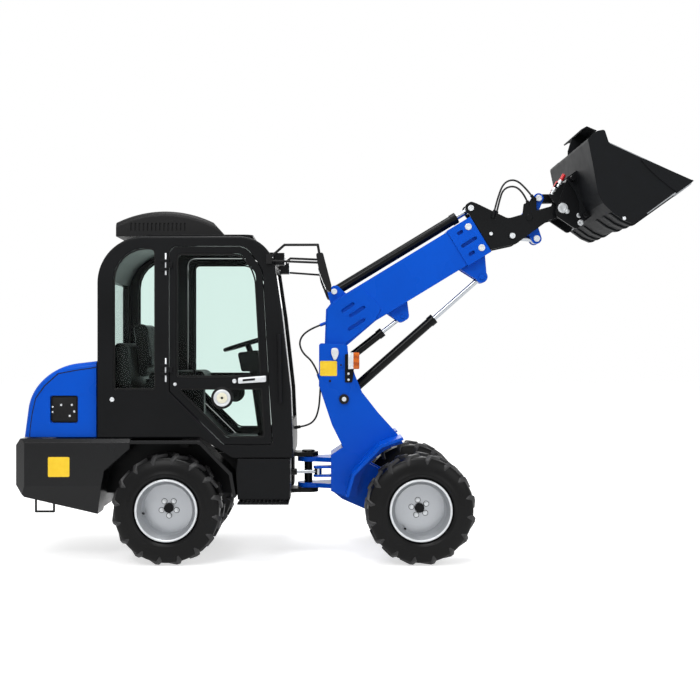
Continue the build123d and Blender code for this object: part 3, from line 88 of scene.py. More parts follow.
def seen_rays(tree):
    """1 for the rays that see the background: straight from the camera, or by way of a gloss or a glass."""
    path = add_node(tree, "LightPath")
    direct = add_node(tree, "Math", {"operation": "MAXIMUM"},
                      {0: (path, "Is Camera Ray"), 1: (path, "Is Glossy Ray")})
    return add_node(tree, "Math", {"operation": "MAXIMUM"},
                    {0: (direct, "Value"), 1: (path, "Is Transmission Ray")})


# Plain white where it is seen, and half as strong where it only lights the machine.
world = bpy.data.worlds.new("surround")
world.use_nodes = True
tree = world.node_tree
tree.nodes.clear()
bpy.context.scene.world = world
level = add_node(tree, "MapRange", {"To Min": SURROUND_LIGHT, "To Max": 1.0},
                 {"Value": (seen_rays(tree), "Value")})
sky = add_node(tree, "Background", {"Color": (1, 1, 1, 1)}, {"Strength": (level, "Result")})
add_node(tree, "OutputWorld", None, {"Surface": (sky, "Background")})

bpy.ops.object.select_all(action="DESELECT")
bpy.ops.mesh.primitive_plane_add(size=80.0)
floor = bpy.context.object
floor.name = "floor"

# White paper, lifted to the white of the surround where it is seen, so that only the shadow shows.
floor_paper = bpy.data.materials.new("studio_paper")
floor_paper.use_nodes = True
tree = floor_paper.node_tree
tree.nodes.clear()
paper = add_node(tree, "BsdfDiffuse", {"Color": linear("#E4E4E4")})
lift = add_node(tree, "Math", {"operation": "MULTIPLY", 1: FLOOR_GLOW}, {0: (seen_rays(tree), "Value")})
glow = add_node(tree, "Emission", {"Color": (1, 1, 1, 1)}, {"Strength": (lift, "Value")})
both = add_node(tree, "AddShader", None, {0: (paper, "BSDF"), 1: (glow, "Emission")})
add_node(tree, "OutputMaterial", None, {"Surface": (both, "Shader")})
floor.data.materials.append(floor_paper)

for name, place, size, power in LAMPS:
    lamp = bpy.data.objects.new(name, bpy.data.lights.new(name, "AREA"))
    lamp.data.energy = power
    lamp.data.size = size
    lamp.location = place
    lamp.visible_transmission = False
    lamp.rotation_euler = (LAMP_AIM - lamp.location).to_track_quat("-Z", "Y").to_euler()
    bpy.context.scene.collection.objects.link(lamp)

# Hoses
# Hydraulic hoses of 14 mm with a woven cover: two arch over the boom's nose to the hitch, one crosses the
# steering joint and one the lift pivot. Their ends are crimped in the glands of the pieces that they leave.
HOSE_D = 0.014
NOSE_NEAR = ((1.078, -0.108, 2.553), (1.102, -0.108, 2.650), (1.146, -0.108, 2.760), (1.226, -0.108, 2.785),
             (1.300, -0.108, 2.730), (1.350, -0.108, 2.665))
NOSE_FAR = ((1.098, -0.090, 2.545), (1.115, -0.090, 2.622), (1.145, -0.090, 2.715), (1.226, -0.090, 2.740),
            (1.292, -0.090, 2.690), (1.322, -0.090, 2.625))
OVER_STEERING = ((-0.372, -0.060, 0.935), (-0.315, -0.060, 0.945), (-0.262, -0.060, 0.985), (-0.236, -0.060, 1.060),
                 (-0.226, -0.060, 1.150), (-0.222, -0.060, 1.235))
OVER_LIFT = ((-0.240, -0.050, 1.330), (-0.275, -0.050, 1.420), (-0.360, -0.050, 1.490), (-0.385, -0.050, 1.580),
             (-0.320, -0.050, 1.660), (-0.225, -0.050, 1.696))


def new_finish(name):
    """An empty material by that name, its node tree, and the link that lays a texture on Object coordinates."""
    made = bpy.data.materials.new(name)
    made.use_nodes = True
    made.node_tree.nodes.clear()
    return made, made.node_tree, {"Vector": (add_node(made.node_tree, "TexCoord"), "Object")}


# Textile braid set in rubber: matt black with pale flecks where the yarns come up, drawn at 7 mm to show.
braid, tree, coords = new_finish("braided_hose_cover")
yarn = add_node(tree, "TexVoronoi", {"Scale": 1000 / 7}, coords)
fleck = add_node(tree, "MapRange", {"From Min": 0.16, "From Max": 0.34, "To Min": 1.0, "To Max": 0.0},
                 {"Value": (yarn, "Distance")})
colour = add_node(tree, "Mix", {"data_type": "RGBA", 6: linear("#0B0B0C"), 7: linear("#4E4F51")},
                  {0: (fleck, "Result")})
bump = add_node(tree, "Bump", {"Strength": 0.4, "Distance": 0.001}, {"Height": (fleck, "Result")})
skin = add_node(tree, "BsdfPrincipled", {"Roughness": 0.6, "Specular IOR Level": 0.3},
                {"Base Color": (colour, 2), "Normal": (bump, "Normal")})
add_node(tree, "OutputMaterial", None, {"Surface": (skin, "BSDF")})


def hose_line(name, route):
    """A hose's smooth line through its route, as a curve that isn't thick yet."""
    line = bpy.data.curves.new(name, "CURVE")
    line.dimensions = "3D"
    spline = line.splines.new("NURBS")
    spline.points.add(len(route) - 1)
    for point, place in zip(spline.points, route):
        point.co = (*place, 1.0)
    spline.order_u = 3
    spline.use_endpoint_u = True
    spline.resolution_u = 14
    hose = bpy.data.objects.new(name, line)
    hose.data.materials.append(braid)
    bpy.context.scene.collection.objects.link(hose)
    return hose


def thicken(hose):
    """Gives the line a round section and closed ends."""
    hose.data.bevel_depth = HOSE_D / 2
    hose.data.bevel_resolution = 5
    hose.data.use_fill_caps = True


for name, route, node, length in (("hose_nose_near", NOSE_NEAR, "nose_hose_near", 0.465),
                                  ("hose_nose_far", NOSE_FAR, "nose_hose_far", 0.403)):
    hose = hose_line(name, route)
    thicken(hose)
    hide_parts(node)
    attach(hose, "inner_boom")

BENDING_HOSES = (("hose_over_steering", OVER_STEERING, "steer_hose", 0.376, ("rear_frame", "front_frame"),
                  (-0.350, -0.060, 0.939), (-0.224, -0.060, 1.205)),
                 ("hose_over_lift", OVER_LIFT, "lift_hose", 0.492, ("boom", "front_frame"),
                  (-0.260, -0.050, 1.680), (-0.260, -0.050, 1.360)))
for name, route, node, length, bodies, start, end in BENDING_HOSES:
    hose = hose_line(name, route)
    line = bpy.data.meshes.new_from_object(hose)
    thicken(hose)
    bpy.ops.object.select_all(action="DESELECT")
    hose.select_set(True)
    bpy.context.view_layer.objects.active = hose
    bpy.ops.object.convert(target="MESH")
    hose = bpy.context.object
    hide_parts(node)
    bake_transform(hose)

# Black steelwork
# Chassis, cab shell, steps, axles, boom head and hitch: plate and castings in a satin powder coat,
# nearly black, with a fine texture drawn at 6 mm and edges that the coat rounds off, so they catch the light.
black_satin, tree, coords = new_finish("black_satin_powder_coat")
tone = add_node(tree, "TexNoise", {"Scale": 1000 / 330, "Detail": 4.0}, coords)
colour = add_node(tree, "Mix", {"data_type": "RGBA", 6: linear("#08090A"), 7: linear("#101113")},
                  {0: (tone, "Fac")})
grain = add_node(tree, "TexNoise", {"Scale": 1000 / 6, "Detail": 2.0}, coords)
edges = add_node(tree, "Bevel", {"samples": 4, "Radius": 0.005})
bump = add_node(tree, "Bump", {"Strength": 0.07, "Distance": 0.001},
                {"Height": (grain, "Fac"), "Normal": (edges, "Normal")})
rough = add_node(tree, "MapRange", {"To Min": 0.28, "To Max": 0.46}, {"Value": (tone, "Fac")})
skin = add_node(tree, "BsdfPrincipled", {"IOR": 1.5, "Specular IOR Level": 0.11},
                {"Base Color": (colour, 2), "Roughness": (rough, "Result"), "Normal": (bump, "Normal")})
add_node(tree, "OutputMaterial", None, {"Surface": (skin, "BSDF")})


def dress(material, *names):
    """Gives CAD nodes a material."""
    for name in names:
        nodes[name].data.materials.clear()
        nodes[name].data.materials.append(material)


dress(black_satin, "rear_chassis", "rear_axle", "side_boxes", "cab_base", "cab_frame", "cab_roof", "work_lamps",
      "hand_rails", "hood_hinges", "door_right", "door_left", "front_axle", "tower_lamps", "boom_head", "hitch_frame",
      "tilt_link")

# Counterweight
# A cast block and the folded rear fenders in a smoother, thicker black enamel than the frame's: the sides stay dark
# and the bevels along the top mirror the light from above.
enamel, tree, coords = new_finish("black_smooth_enamel")
tone = add_node(tree, "TexNoise", {"Scale": 1000 / 400, "Detail": 3.0}, coords)
colour = add_node(tree, "Mix", {"data_type": "RGBA", 6: linear("#08090A"), 7: linear("#0F1012")},
                  {0: (tone, "Fac")})
edges = add_node(tree, "Bevel", {"samples": 4, "Radius": 0.006})
rough = add_node(tree, "MapRange", {"To Min": 0.2, "To Max": 0.32}, {"Value": (tone, "Fac")})
skin = add_node(tree, "BsdfPrincipled", {"IOR": 1.5, "Specular IOR Level": 0.22},
                {"Base Color": (colour, 2), "Roughness": (rough, "Result"), "Normal": (edges, "Normal")})
add_node(tree, "OutputMaterial", None, {"Surface": (skin, "BSDF")})
dress(enamel, "counterweight", "rear_fenders")

# Cylinder barrels
# Honed steel tubes in a glossy black two-pack paint, so each shows one bright streak along its length; a slow
# unevenness of 60 mm in the gloss.
black_gloss, tree, coords = new_finish("black_gloss_two_pack")
tone = add_node(tree, "TexNoise", {"Scale": 1000 / 60, "Detail": 2.0}, coords)
colour = add_node(tree, "Mix", {"data_type": "RGBA", 6: linear("#060607"), 7: linear("#0D0E0F")},
                  {0: (tone, "Fac")})
rough = add_node(tree, "MapRange", {"To Min": 0.16, "To Max": 0.26}, {"Value": (tone, "Fac")})
skin = add_node(tree, "BsdfPrincipled", {"IOR": 1.5, "Specular IOR Level": 0.12},
                {"Base Color": (colour, 2), "Roughness": (rough, "Result")})
add_node(tree, "OutputMaterial", None, {"Surface": (skin, "BSDF")})
dress(black_gloss, "telescope_barrel", "tilt_barrel", "lift_barrel", "comp_barrel", "steer_barrel")

# Blue steelwork
# Hood, tower, front fenders, both booms and the bell crank: steel plate in a stoved blue enamel, glossy, with a
# faint orange peel drawn at 14 mm, slow changes of tone and edges rounded by the coat.
blue_enamel, tree, coords = new_finish("blue_stoving_enamel")
tone = add_node(tree, "TexNoise", {"Scale": 1000 / 450, "Detail": 3.0}, coords)
colour = add_node(tree, "Mix", {"data_type": "RGBA", 6: linear("#0247B6"), 7: linear("#0455CC")},
                  {0: (tone, "Fac")})
peel = add_node(tree, "TexNoise", {"Scale": 1000 / 14, "Detail": 2.0}, coords)
edges = add_node(tree, "Bevel", {"samples": 4, "Radius": 0.005})
bump = add_node(tree, "Bump", {"Strength": 0.04, "Distance": 0.001},
                {"Height": (peel, "Fac"), "Normal": (edges, "Normal")})
rough = add_node(tree, "MapRange", {"To Min": 0.22, "To Max": 0.34}, {"Value": (tone, "Fac")})
skin = add_node(tree, "BsdfPrincipled", {"IOR": 1.5, "Specular IOR Level": 0.1},
                {"Base Color": (colour, 2), "Roughness": (rough, "Result"), "Normal": (bump, "Normal")})
add_node(tree, "OutputMaterial", None, {"Surface": (skin, "BSDF")})
dress(blue_enamel, "engine_hood", "front_frame", "front_fenders", "outer_boom", "inner_boom", "bell_crank")

# Piston rods
# Rods of the five cylinders, in steel that is hard-chromed and then ground: mirrors with very fine grinding lines,
# drawn at 4 mm.
chrome, tree, coords = new_finish("hard_chrome")
lines = add_node(tree, "TexNoise", {"Scale": 1000 / 4, "Detail": 1.0}, coords)
rough = add_node(tree, "MapRange", {"To Min": 0.08, "To Max": 0.2}, {"Value": (lines, "Fac")})
skin = add_node(tree, "BsdfPrincipled", {"Base Color": linear("#A6AAAF"), "Metallic": 1.0},
                {"Roughness": (rough, "Result")})
add_node(tree, "OutputMaterial", None, {"Surface": (skin, "BSDF")})
dress(chrome, "telescope_rod", "tilt_rod", "lift_rod", "comp_rod", "steer_rod")

# Engine block
# Sand-cast grey iron under the hood, seen only with the hood up: rough, matt and a little oily, its sand
# grain drawn at 5 mm.
cast_iron, tree, coords = new_finish("sand_cast_iron")
sand = add_node(tree, "TexNoise", {"Scale": 1000 / 5, "Detail": 6.0}, coords)
bump = add_node(tree, "Bump", {"Strength": 0.4, "Distance": 0.001}, {"Height": (sand, "Fac")})
colour = add_node(tree, "Mix", {"data_type": "RGBA", 6: linear("#4A4C4F"), 7: linear("#66686B")},
                  {0: (sand, "Fac")})
skin = add_node(tree, "BsdfPrincipled", {"Roughness": 0.7, "Metallic": 0.3},
                {"Base Color": (colour, 2), "Normal": (bump, "Normal")})
add_node(tree, "OutputMaterial", None, {"Surface": (skin, "BSDF")})
dress(cast_iron, "engine_block")

# Tyres
# Off-road tyres moulded in carbon-black rubber: a round carcass with a rim guard on each side wall and sixteen
# lugs a side, set in a chevron and wrapped over the shoulder. The skin is satin and a little grey with bloom.
TYRE_TREAD_R = 0.368
TYRE_SHOULDER = 0.125
SIDE_WALL = ((0.364, 0.131), (0.352, 0.139), (0.335, 0.147), (0.314, 0.154), (0.290, 0.158), (0.268, 0.159),
             (0.262, 0.163), (0.250, 0.163), (0.242, 0.157), (0.230, 0.146), (0.2205, 0.131))
LUG_COUNT = 16
LUG_MIDDLE = (0, 0.067, 0.36325)
LUG_SIZE = (0.042, 0.118, 0.0465)
LUG_WRAP = (0, 0.036, -0.0295)
LUG_TURN = radians(36.0)
LUG_PHASE = radians(3.65)
AXLE_Z = 0.390
WHEELS = (("rear_right", -1.293, -1), ("rear_left", -1.293, 1), ("front_right", 0.485, -1), ("front_left", 0.485, 1))
TYRE_Y = 0.491

rubber, tree, coords = new_finish("tyre_rubber")
bloom = add_node(tree, "TexNoise", {"Scale": 1000 / 160, "Detail": 5.0}, coords)
colour = add_node(tree, "Mix", {"data_type": "RGBA", 6: linear("#050505"), 7: linear("#0E0E0F")},
                  {0: (bloom, "Fac")})
grain = add_node(tree, "TexNoise", {"Scale": 1000 / 7, "Detail": 3.0}, coords)
bump = add_node(tree, "Bump", {"Strength": 0.12, "Distance": 0.001}, {"Height": (grain, "Fac")})
rough = add_node(tree, "MapRange", {"To Min": 0.26, "To Max": 0.42}, {"Value": (bloom, "Fac")})
skin = add_node(tree, "BsdfPrincipled", {"IOR": 1.52, "Specular IOR Level": 0.13},
                {"Base Color": (colour, 2), "Roughness": (rough, "Result"), "Normal": (bump, "Normal")})
add_node(tree, "OutputMaterial", None, {"Surface": (skin, "BSDF")})

# The lugs' faces are duller than the side walls, scuffed by the ground, and painted paler: partly the grey of that
# scuffing, partly a painted highlight for the light the lugs catch.
tread_scuff_and_highlight, tree, coords = new_finish("scuffed_tread_rubber_with_painted_highlight")
scuff = add_node(tree, "TexNoise", {"Scale": 1000 / 35, "Detail": 5.0}, coords)
colour = add_node(tree, "Mix", {"data_type": "RGBA", 6: linear("#121213"), 7: linear("#333334")},
                  {0: (scuff, "Fac")})
bump = add_node(tree, "Bump", {"Strength": 0.2, "Distance": 0.001}, {"Height": (scuff, "Fac")})
skin = add_node(tree, "BsdfPrincipled", {"Roughness": 0.5, "IOR": 1.52, "Specular IOR Level": 0.3},
                {"Base Color": (colour, 2), "Normal": (bump, "Normal")})
add_node(tree, "OutputMaterial", None, {"Surface": (skin, "BSDF")})


def edit():
    """Edit mode on the piece just added, with all of it selected."""
    bpy.ops.object.mode_set(mode="EDIT")
    bpy.ops.mesh.select_mode(type="FACE")
    bpy.ops.mesh.select_all(action="SELECT")
    return bpy.context.object


def pick(piece, test):
    """Selects, in edit mode, only the faces whose middle and normal pass a test."""
    bpy.ops.mesh.select_mode(type="FACE")
    bpy.ops.mesh.select_all(action="DESELECT")
    shell = bmesh.from_edit_mesh(piece.data)
    for face in shell.faces:
        face.select_set(test(face.calc_center_median(), face.normal))
    bmesh.update_edit_mesh(piece.data)


def top(middle, normal):
    """The test for the faces that look straight up."""
    return normal.z > 0.9


def push(x, y, z):
    """Extrudes the picked faces by a step."""
    bpy.ops.mesh.extrude_region_move(TRANSFORM_OT_translate={"value": (x, y, z)})


def set_down(piece, name, material, body=None, edge=0.0):
    """Ends a piece: its edges broken, its place in its mesh, its finish, and the body that it rides on."""
    bpy.ops.mesh.select_all(action="SELECT")
    bpy.ops.mesh.normals_make_consistent(inside=False)
    bpy.ops.object.mode_set(mode="OBJECT")
    bpy.ops.object.transform_apply(location=True, rotation=True, scale=True)
    if edge:
        broken = piece.modifiers.new("edge", "BEVEL")
        broken.width = edge
        broken.segments = 2
        broken.limit_method = "ANGLE"
        broken.angle_limit = radians(40)
        bpy.ops.object.modifier_apply(modifier="edge")
    bpy.ops.object.shade_smooth_by_angle(angle=radians(35))
    piece.name = name
    piece.data.materials.clear()
    piece.data.materials.append(material)
    if body:
        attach(piece, body)
    return piece


def lay_copy(master, name, place, turn=(0, 0, 0), size=(1, 1, 1), body=None):
    """A copy of a modelled piece with its own mesh, turned, sized and put in its place."""
    piece = master.copy()
    piece.data = master.data.copy()
    piece.data.transform(Matrix.LocRotScale(Vector(place), Euler(turn), Vector(size)))
    piece.name = name
    bpy.context.scene.collection.objects.link(piece)
    if body:
        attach(piece, body)
    return piece


def join(name, *pieces):
    """Pieces made one."""
    bpy.ops.object.select_all(action="DESELECT")
    for piece in pieces:
        piece.select_set(True)
    bpy.context.view_layer.objects.active = pieces[0]
    bpy.ops.object.join()
    pieces[0].name = name
    return pieces[0]


bpy.ops.object.select_all(action="DESELECT")
bpy.ops.mesh.primitive_cube_add(size=1.0, location=LUG_MIDDLE, scale=LUG_SIZE)
bpy.ops.object.transform_apply(location=True, rotation=True, scale=True)
lug = edit()
pick(lug, lambda middle, normal: normal.y > 0.9)
push(*LUG_WRAP)
bpy.ops.transform.resize(value=(1, 1, 0.69))
pick(lug, lambda middle, normal: normal.z > 0.5)
bpy.ops.transform.resize(value=(0.86, 1, 1))
# The lugs take the paler rubber, which is in part a painted highlight.
lug = set_down(lug, "lug", tread_scuff_and_highlight, edge=0.006)
to_middle = Matrix.Translation((0, LUG_MIDDLE[1], 0))
lug.data.transform(to_middle @ Matrix.Rotation(LUG_TURN, 4, "Z") @ to_middle.inverted())

bpy.ops.object.select_all(action="DESELECT")
bpy.ops.mesh.primitive_cylinder_add(vertices=96, radius=TYRE_TREAD_R, depth=2 * TYRE_SHOULDER)
carcass = edit()
for side in (-1, 1):
    pick(carcass, lambda middle, normal: normal.z * side > 0.9)
    last_r, last_w = TYRE_TREAD_R, TYRE_SHOULDER
    for r, w in SIDE_WALL:
        push(0, 0, side * (w - last_w))
        bpy.ops.transform.resize(value=(r / last_r, r / last_r, 1), center_override=(0, 0, 0))
        last_r, last_w = r, w
    bpy.ops.mesh.delete(type="FACE")
bpy.ops.mesh.select_mode(type="EDGE")
bpy.ops.mesh.select_all(action="DESELECT")
shell = bmesh.from_edit_mesh(carcass.data)
for rim_edge in shell.edges:
    rim_edge.select_set(rim_edge.is_boundary)
bmesh.update_edit_mesh(carcass.data)
bpy.ops.mesh.bridge_edge_loops()
bpy.ops.object.mode_set(mode="OBJECT")
carcass.rotation_euler = (pi / 2, 0, 0)
edit()
carcass = set_down(carcass, "carcass", rubber)

lugs = []
for i in range(LUG_COUNT):
    angle = 2 * pi / LUG_COUNT * i + LUG_PHASE
    lugs.append(lay_copy(lug, "lug_near", (0, 0, 0), (0, angle, 0)))
    half = lay_copy(lug, "lug_far", (0, 0, 0), (0, 0, 0), (1, -1, 1))
    half.data.flip_normals()
    half.data.transform(Matrix.Rotation(angle + pi / LUG_COUNT, 4, "Y"))
    lugs.append(half)
tread = join("tread", carcass, *lugs)
for name, x, side in WHEELS:
    tyre = lay_copy(tread, "chevron_tyre_" + name, (x, side * TYRE_Y, AXLE_Z), body="wheel_" + name)
    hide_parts("tyre_" + name)
bpy.data.objects.remove(tread)
bpy.data.objects.remove(lug)

# Wheels
# Pressed steel wheels in silver paint, fine flake under a satin lacquer, each held by five zinc-plated nuts on
# studs round the hub, with a rubber tyre valve through the rim's well. A black rubber disc round each nut is painted
# shade for its countersunk hole, and a zinc ring along the rim's lip is a painted highlight.
DISC_FACE = 0.482
NUT_CIRCLE = 0.056
NUT_COUNT = 5
VALVE_CIRCLE = 0.181
VALVE_LEAN = radians(78)
NUT_AND_VALVE_AT = {"rear": (54, 192), "front": (30, 234)}
FLANGE_R = 0.2115
FLANGE_Y = 0.638
silver, tree, coords = new_finish("silver_wheel_paint")
flake = add_node(tree, "TexNoise", {"Scale": 1000 / 2.5, "Detail": 1.0}, coords)
colour = add_node(tree, "Mix", {"data_type": "RGBA", 6: linear("#9EA1A5"), 7: linear("#B6B9BD")},
                  {0: (flake, "Fac")})
skin = add_node(tree, "BsdfPrincipled", {"Roughness": 0.32, "Metallic": 0.55},
                {"Base Color": (colour, 2)})
add_node(tree, "OutputMaterial", None, {"Surface": (skin, "BSDF")})
dress(silver, "rim_rear_right", "rim_rear_left", "rim_front_right", "rim_front_left")

# Steel under bright zinc plate: pale grey, satin, with a soft spangle drawn at 9 mm.
zinc, tree, coords = new_finish("zinc_plated_steel")
spangle = add_node(tree, "TexNoise", {"Scale": 1000 / 9, "Detail": 3.0}, coords)
colour = add_node(tree, "Mix", {"data_type": "RGBA", 6: linear("#B7BABD"), 7: linear("#DADDDF")},
                  {0: (spangle, "Fac")})
rough = add_node(tree, "MapRange", {"To Min": 0.3, "To Max": 0.5}, {"Value": (spangle, "Fac")})
skin = add_node(tree, "BsdfPrincipled", {"Metallic": 0.75},
                {"Base Color": (colour, 2), "Roughness": (rough, "Result")})
add_node(tree, "OutputMaterial", None, {"Surface": (skin, "BSDF")})


def blank(sides, radius, height, base=0.0):
    """A bar of that many sides in edit mode, standing on its base, as it comes off the saw."""
    bpy.ops.object.select_all(action="DESELECT")
    bpy.ops.mesh.primitive_cylinder_add(vertices=sides, radius=radius, depth=height,
                                        location=(0, 0, base + height / 2))
    return edit()


def outwards(side):
    """The turn that points a piece modelled upwards out of one side of the machine."""
    return (-side * pi / 2, 0, 0)


washer = blank(24, 0.010, 0.002)
pick(washer, top)
bpy.ops.mesh.inset(thickness=0.0008)
push(0, 0, 0.0004)
washer = set_down(washer, "washer", zinc)
# The master of the black discs that are painted shade round the wheel nuts.
nut_shade_disc = lay_copy(washer, "nut_shade_disc", (0, 0, 0))
hexagon = blank(6, 0.0085, 0.0056, 0.002)
pick(hexagon, top)
bpy.ops.mesh.inset(thickness=0.0014)
push(0, 0, 0.0010)
hexagon = set_down(hexagon, "hexagon", zinc, edge=0.0004)
bolt = join("bolt", hexagon, washer)
stud = blank(16, 0.0046, 0.014)
pick(stud, top)
bpy.ops.mesh.inset(thickness=0.0012)
push(0, 0, 0.0010)
stud = set_down(stud, "stud", zinc)
nut = join("nut", stud, lay_copy(bolt, "nut_face", (0, 0, 0)))

valve = blank(16, 0.006, 0.018)
pick(valve, top)
bpy.ops.transform.resize(value=(0.75, 0.75, 1))
push(0, 0, 0.012)
bpy.ops.mesh.inset(thickness=-0.0008)
push(0, 0, 0.008)
valve = set_down(valve, "valve", rubber, edge=0.0006)
bpy.ops.object.select_all(action="DESELECT")
# A zinc ring along each rim's lip, brighter than the wheel's paint: a painted highlight for the light the lip
# catches.
bpy.ops.mesh.primitive_torus_add(major_segments=96, minor_segments=16, major_radius=FLANGE_R, minor_radius=0.0085)
lip_highlight = edit()
bpy.ops.transform.resize(value=(1, 1, 0.6))
pick(lip_highlight, lambda middle, normal: normal.z < -0.6)
bpy.ops.transform.resize(value=(1, 1, 0.2))
lip_highlight = set_down(lip_highlight, "lip_highlight", zinc)
for name, x, side in WHEELS:
    first, valve_at = NUT_AND_VALVE_AT[name.split("_")[0]]
    out = outwards(side)
    body = "wheel_" + name
    lay_copy(lip_highlight, "rim_lip_highlight_" + name, (x, side * FLANGE_Y, AXLE_Z), out, body=body)
    for i in range(NUT_COUNT):
        angle = radians(first + 360 / NUT_COUNT * i)
        place = (x + NUT_CIRCLE * cos(angle), side * DISC_FACE, AXLE_Z + NUT_CIRCLE * sin(angle))
        lay_copy(nut, "wheel_nut_" + name + str(i), place, out, (1.7, 1.7, 1.5), body)
        # A black rubber disc behind each nut: painted shade for the countersunk hole round it.
        seat = lay_copy(nut_shade_disc, "nut_shade_disc_" + name + str(i), place, out, (2.1, 2.1, 0.4), body)
        seat.data.materials[0] = rubber
    angle = radians(valve_at)
    place = (x + VALVE_CIRCLE * cos(angle), side * (DISC_FACE + 0.04), AXLE_Z + VALVE_CIRCLE * sin(angle))
    lay_copy(valve, "valve_" + name, place, (-side * VALVE_LEAN, 0, 0), (1.9, 1.9, 1.2), body)
for master in (nut, nut_shade_disc, lip_highlight, valve):
    bpy.data.objects.remove(master)

# Hood trim
# Each side of the hood has a pressed recess lined with a black moulding held by screws, and along the joint
# between its top and side pressings a thin black strip is painted shade for the crease there.
SIDES = ((-1, "right"), (1, "left"))
HOOD_FACE = 480.0
SEAM_SHADE = ((-1815, 1390), (-1960, 1368), (-2085, 1345), (-2180, 1260), (-2245, 1170), (-2270, 1060), (-2283, 960),
        (-2288, 894))
LINING = ((-2139, 993, 22), (-2139, 1184, 22), (-1944, 1184, 22), (-1944, 993, 22))
LINING_SCREWS = ((-2063, 1119, 470), (-1987, 1119, 470), (-1970, 1072, 470), (-2002, 1041, 470), (-2124, 1105, 464),
                 (-2124, 1069, 464))

# Injection-moulded ABS with a leather-like mould grain, drawn at 4 mm: black, dull and even.
plastic, tree, coords = new_finish("grained_abs")
grain = add_node(tree, "TexVoronoi", {"Scale": 1000 / 4}, coords)
bump = add_node(tree, "Bump", {"Strength": 0.12, "Distance": 0.001}, {"Height": (grain, "Distance")})
tone = add_node(tree, "TexNoise", {"Scale": 1000 / 200}, coords)
colour = add_node(tree, "Mix", {"data_type": "RGBA", 6: linear("#0A0A0B"), 7: linear("#131314")},
                  {0: (tone, "Fac")})
skin = add_node(tree, "BsdfPrincipled", {"Roughness": 0.45, "IOR": 1.53, "Specular IOR Level": 0.16},
                {"Base Color": (colour, 2), "Normal": (bump, "Normal")})
add_node(tree, "OutputMaterial", None, {"Surface": (skin, "BSDF")})
dress(plastic, "roof_cooler", "steering_column", "control_lever", "mirrors")


def plate(outline, y, thickness, band=0.0):
    """A plate in edit mode from its outline of (x, z, corner radius) in mm, standing y mm from the middle and
    thickened outwards, or inwards where the thickness is negative. With a band it is only a rim of that width."""
    bpy.ops.object.select_all(action="DESELECT")
    bpy.ops.mesh.primitive_circle_add(vertices=len(outline), radius=1.0, fill_type="NGON")
    piece = edit()
    shell = bmesh.from_edit_mesh(piece.data)
    for vert, (x, z, corner) in zip(list(shell.verts), outline):
        vert.co = (x / 1000, y / 1000, z / 1000)
    bmesh.update_edit_mesh(piece.data)
    for x, z, corner in outline:
        if corner:
            bpy.ops.mesh.select_mode(type="VERT")
            bpy.ops.mesh.select_all(action="DESELECT")
            shell = bmesh.from_edit_mesh(piece.data)
            for vert in shell.verts:
                vert.select_set((vert.co - Vector((x, y, z)) / 1000).length < 1e-5)
            bmesh.update_edit_mesh(piece.data)
            bpy.ops.mesh.bevel(offset=corner / 1000, segments=6, affect="VERTICES")
    bpy.ops.mesh.select_mode(type="FACE")
    bpy.ops.mesh.select_all(action="SELECT")
    if band:
        bpy.ops.mesh.inset(thickness=band / 1000)
        bpy.ops.mesh.delete(type="FACE")
        bpy.ops.mesh.select_all(action="SELECT")
    push(0, copysign(1, y) * thickness / 1000, 0)
    return piece


for side, hand in SIDES:
    lining = plate(LINING, side * (HOOD_FACE - 20), 4)
    pick(lining, lambda middle, normal: abs(normal.y) > 0.9 and abs(middle.y) > 0.462)
    bpy.ops.mesh.inset(thickness=0.012)
    push(0, side * 0.006, 0)
    set_down(lining, "recess_lining_" + hand, plastic, "hood", 0.002)
    for i, (x, z, y) in enumerate(LINING_SCREWS):
        place = (x / 1000, side * y / 1000, z / 1000)
        lay_copy(bolt, "recess_screw_" + hand + str(i), place, outwards(side), (0.8, 0.8, 0.8), "hood")
    # A thin black strip along the crease between the hood's top and side pressings: painted shade.
    seam_shade = plate([(x, z, 0) for x, z in SEAM_SHADE] + [(x + 5, z - 6, 0) for x, z in SEAM_SHADE[::-1]], side * HOOD_FACE, 0.8)
    set_down(seam_shade, "hood_seam_shade_" + hand, plastic, "hood")

# Boom liners
# A doubler plate of 5.5 mm welded behind the slots of each cheek of the outer boom's foot, in the same enamel, so
# that the slots show as grooves.
BOOM_FOOT = (-113.0, 1488.0)
BOOM_TILT = radians(31.3)
LINER_FACE = 84
LINER_T = 5.5
LINER = ((150, 70), (350, 70), (392, 160), (392, 200), (340, 270), (180, 270))
outline = [(BOOM_FOOT[0] + u * cos(BOOM_TILT) - v * sin(BOOM_TILT),
            BOOM_FOOT[1] + u * sin(BOOM_TILT) + v * cos(BOOM_TILT), 12) for u, v in LINER]
for side, hand in SIDES:
    liner = plate(outline, side * LINER_FACE, LINER_T)
    set_down(liner, "boom_liner_" + hand, blue_enamel, "boom", 0.001)

# Blank plates
# Yellow vinyl plates, without print, on the counterweight's sides and the tower's outer cheeks: self-adhesive film
# with rounded corners, satin and a little uneven in tone.
COUNTERWEIGHT_PLATE = ((-2134, 617, 9), (-2134, 757, 9), (-1983, 757, 9), (-1983, 617, 9))
COUNTERWEIGHT_FACE = 560
TOWER_PLATE = ((-224, 1318, 8), (-224, 1429, 8), (-98, 1429, 8), (-98, 1318, 8))
TOWER_FACE = 175
PLATE_T = 0.8
film, tree, coords = new_finish("yellow_vinyl_film")
tone = add_node(tree, "TexNoise", {"Scale": 1000 / 40, "Detail": 4.0}, coords)
colour = add_node(tree, "Mix", {"data_type": "RGBA", 6: linear("#F0C21A"), 7: linear("#FAD537")},
                  {0: (tone, "Fac")})
rough = add_node(tree, "MapRange", {"To Min": 0.3, "To Max": 0.45}, {"Value": (tone, "Fac")})
skin = add_node(tree, "BsdfPrincipled", {"Specular IOR Level": 0.35},
                {"Base Color": (colour, 2), "Roughness": (rough, "Result")})
add_node(tree, "OutputMaterial", None, {"Surface": (skin, "BSDF")})
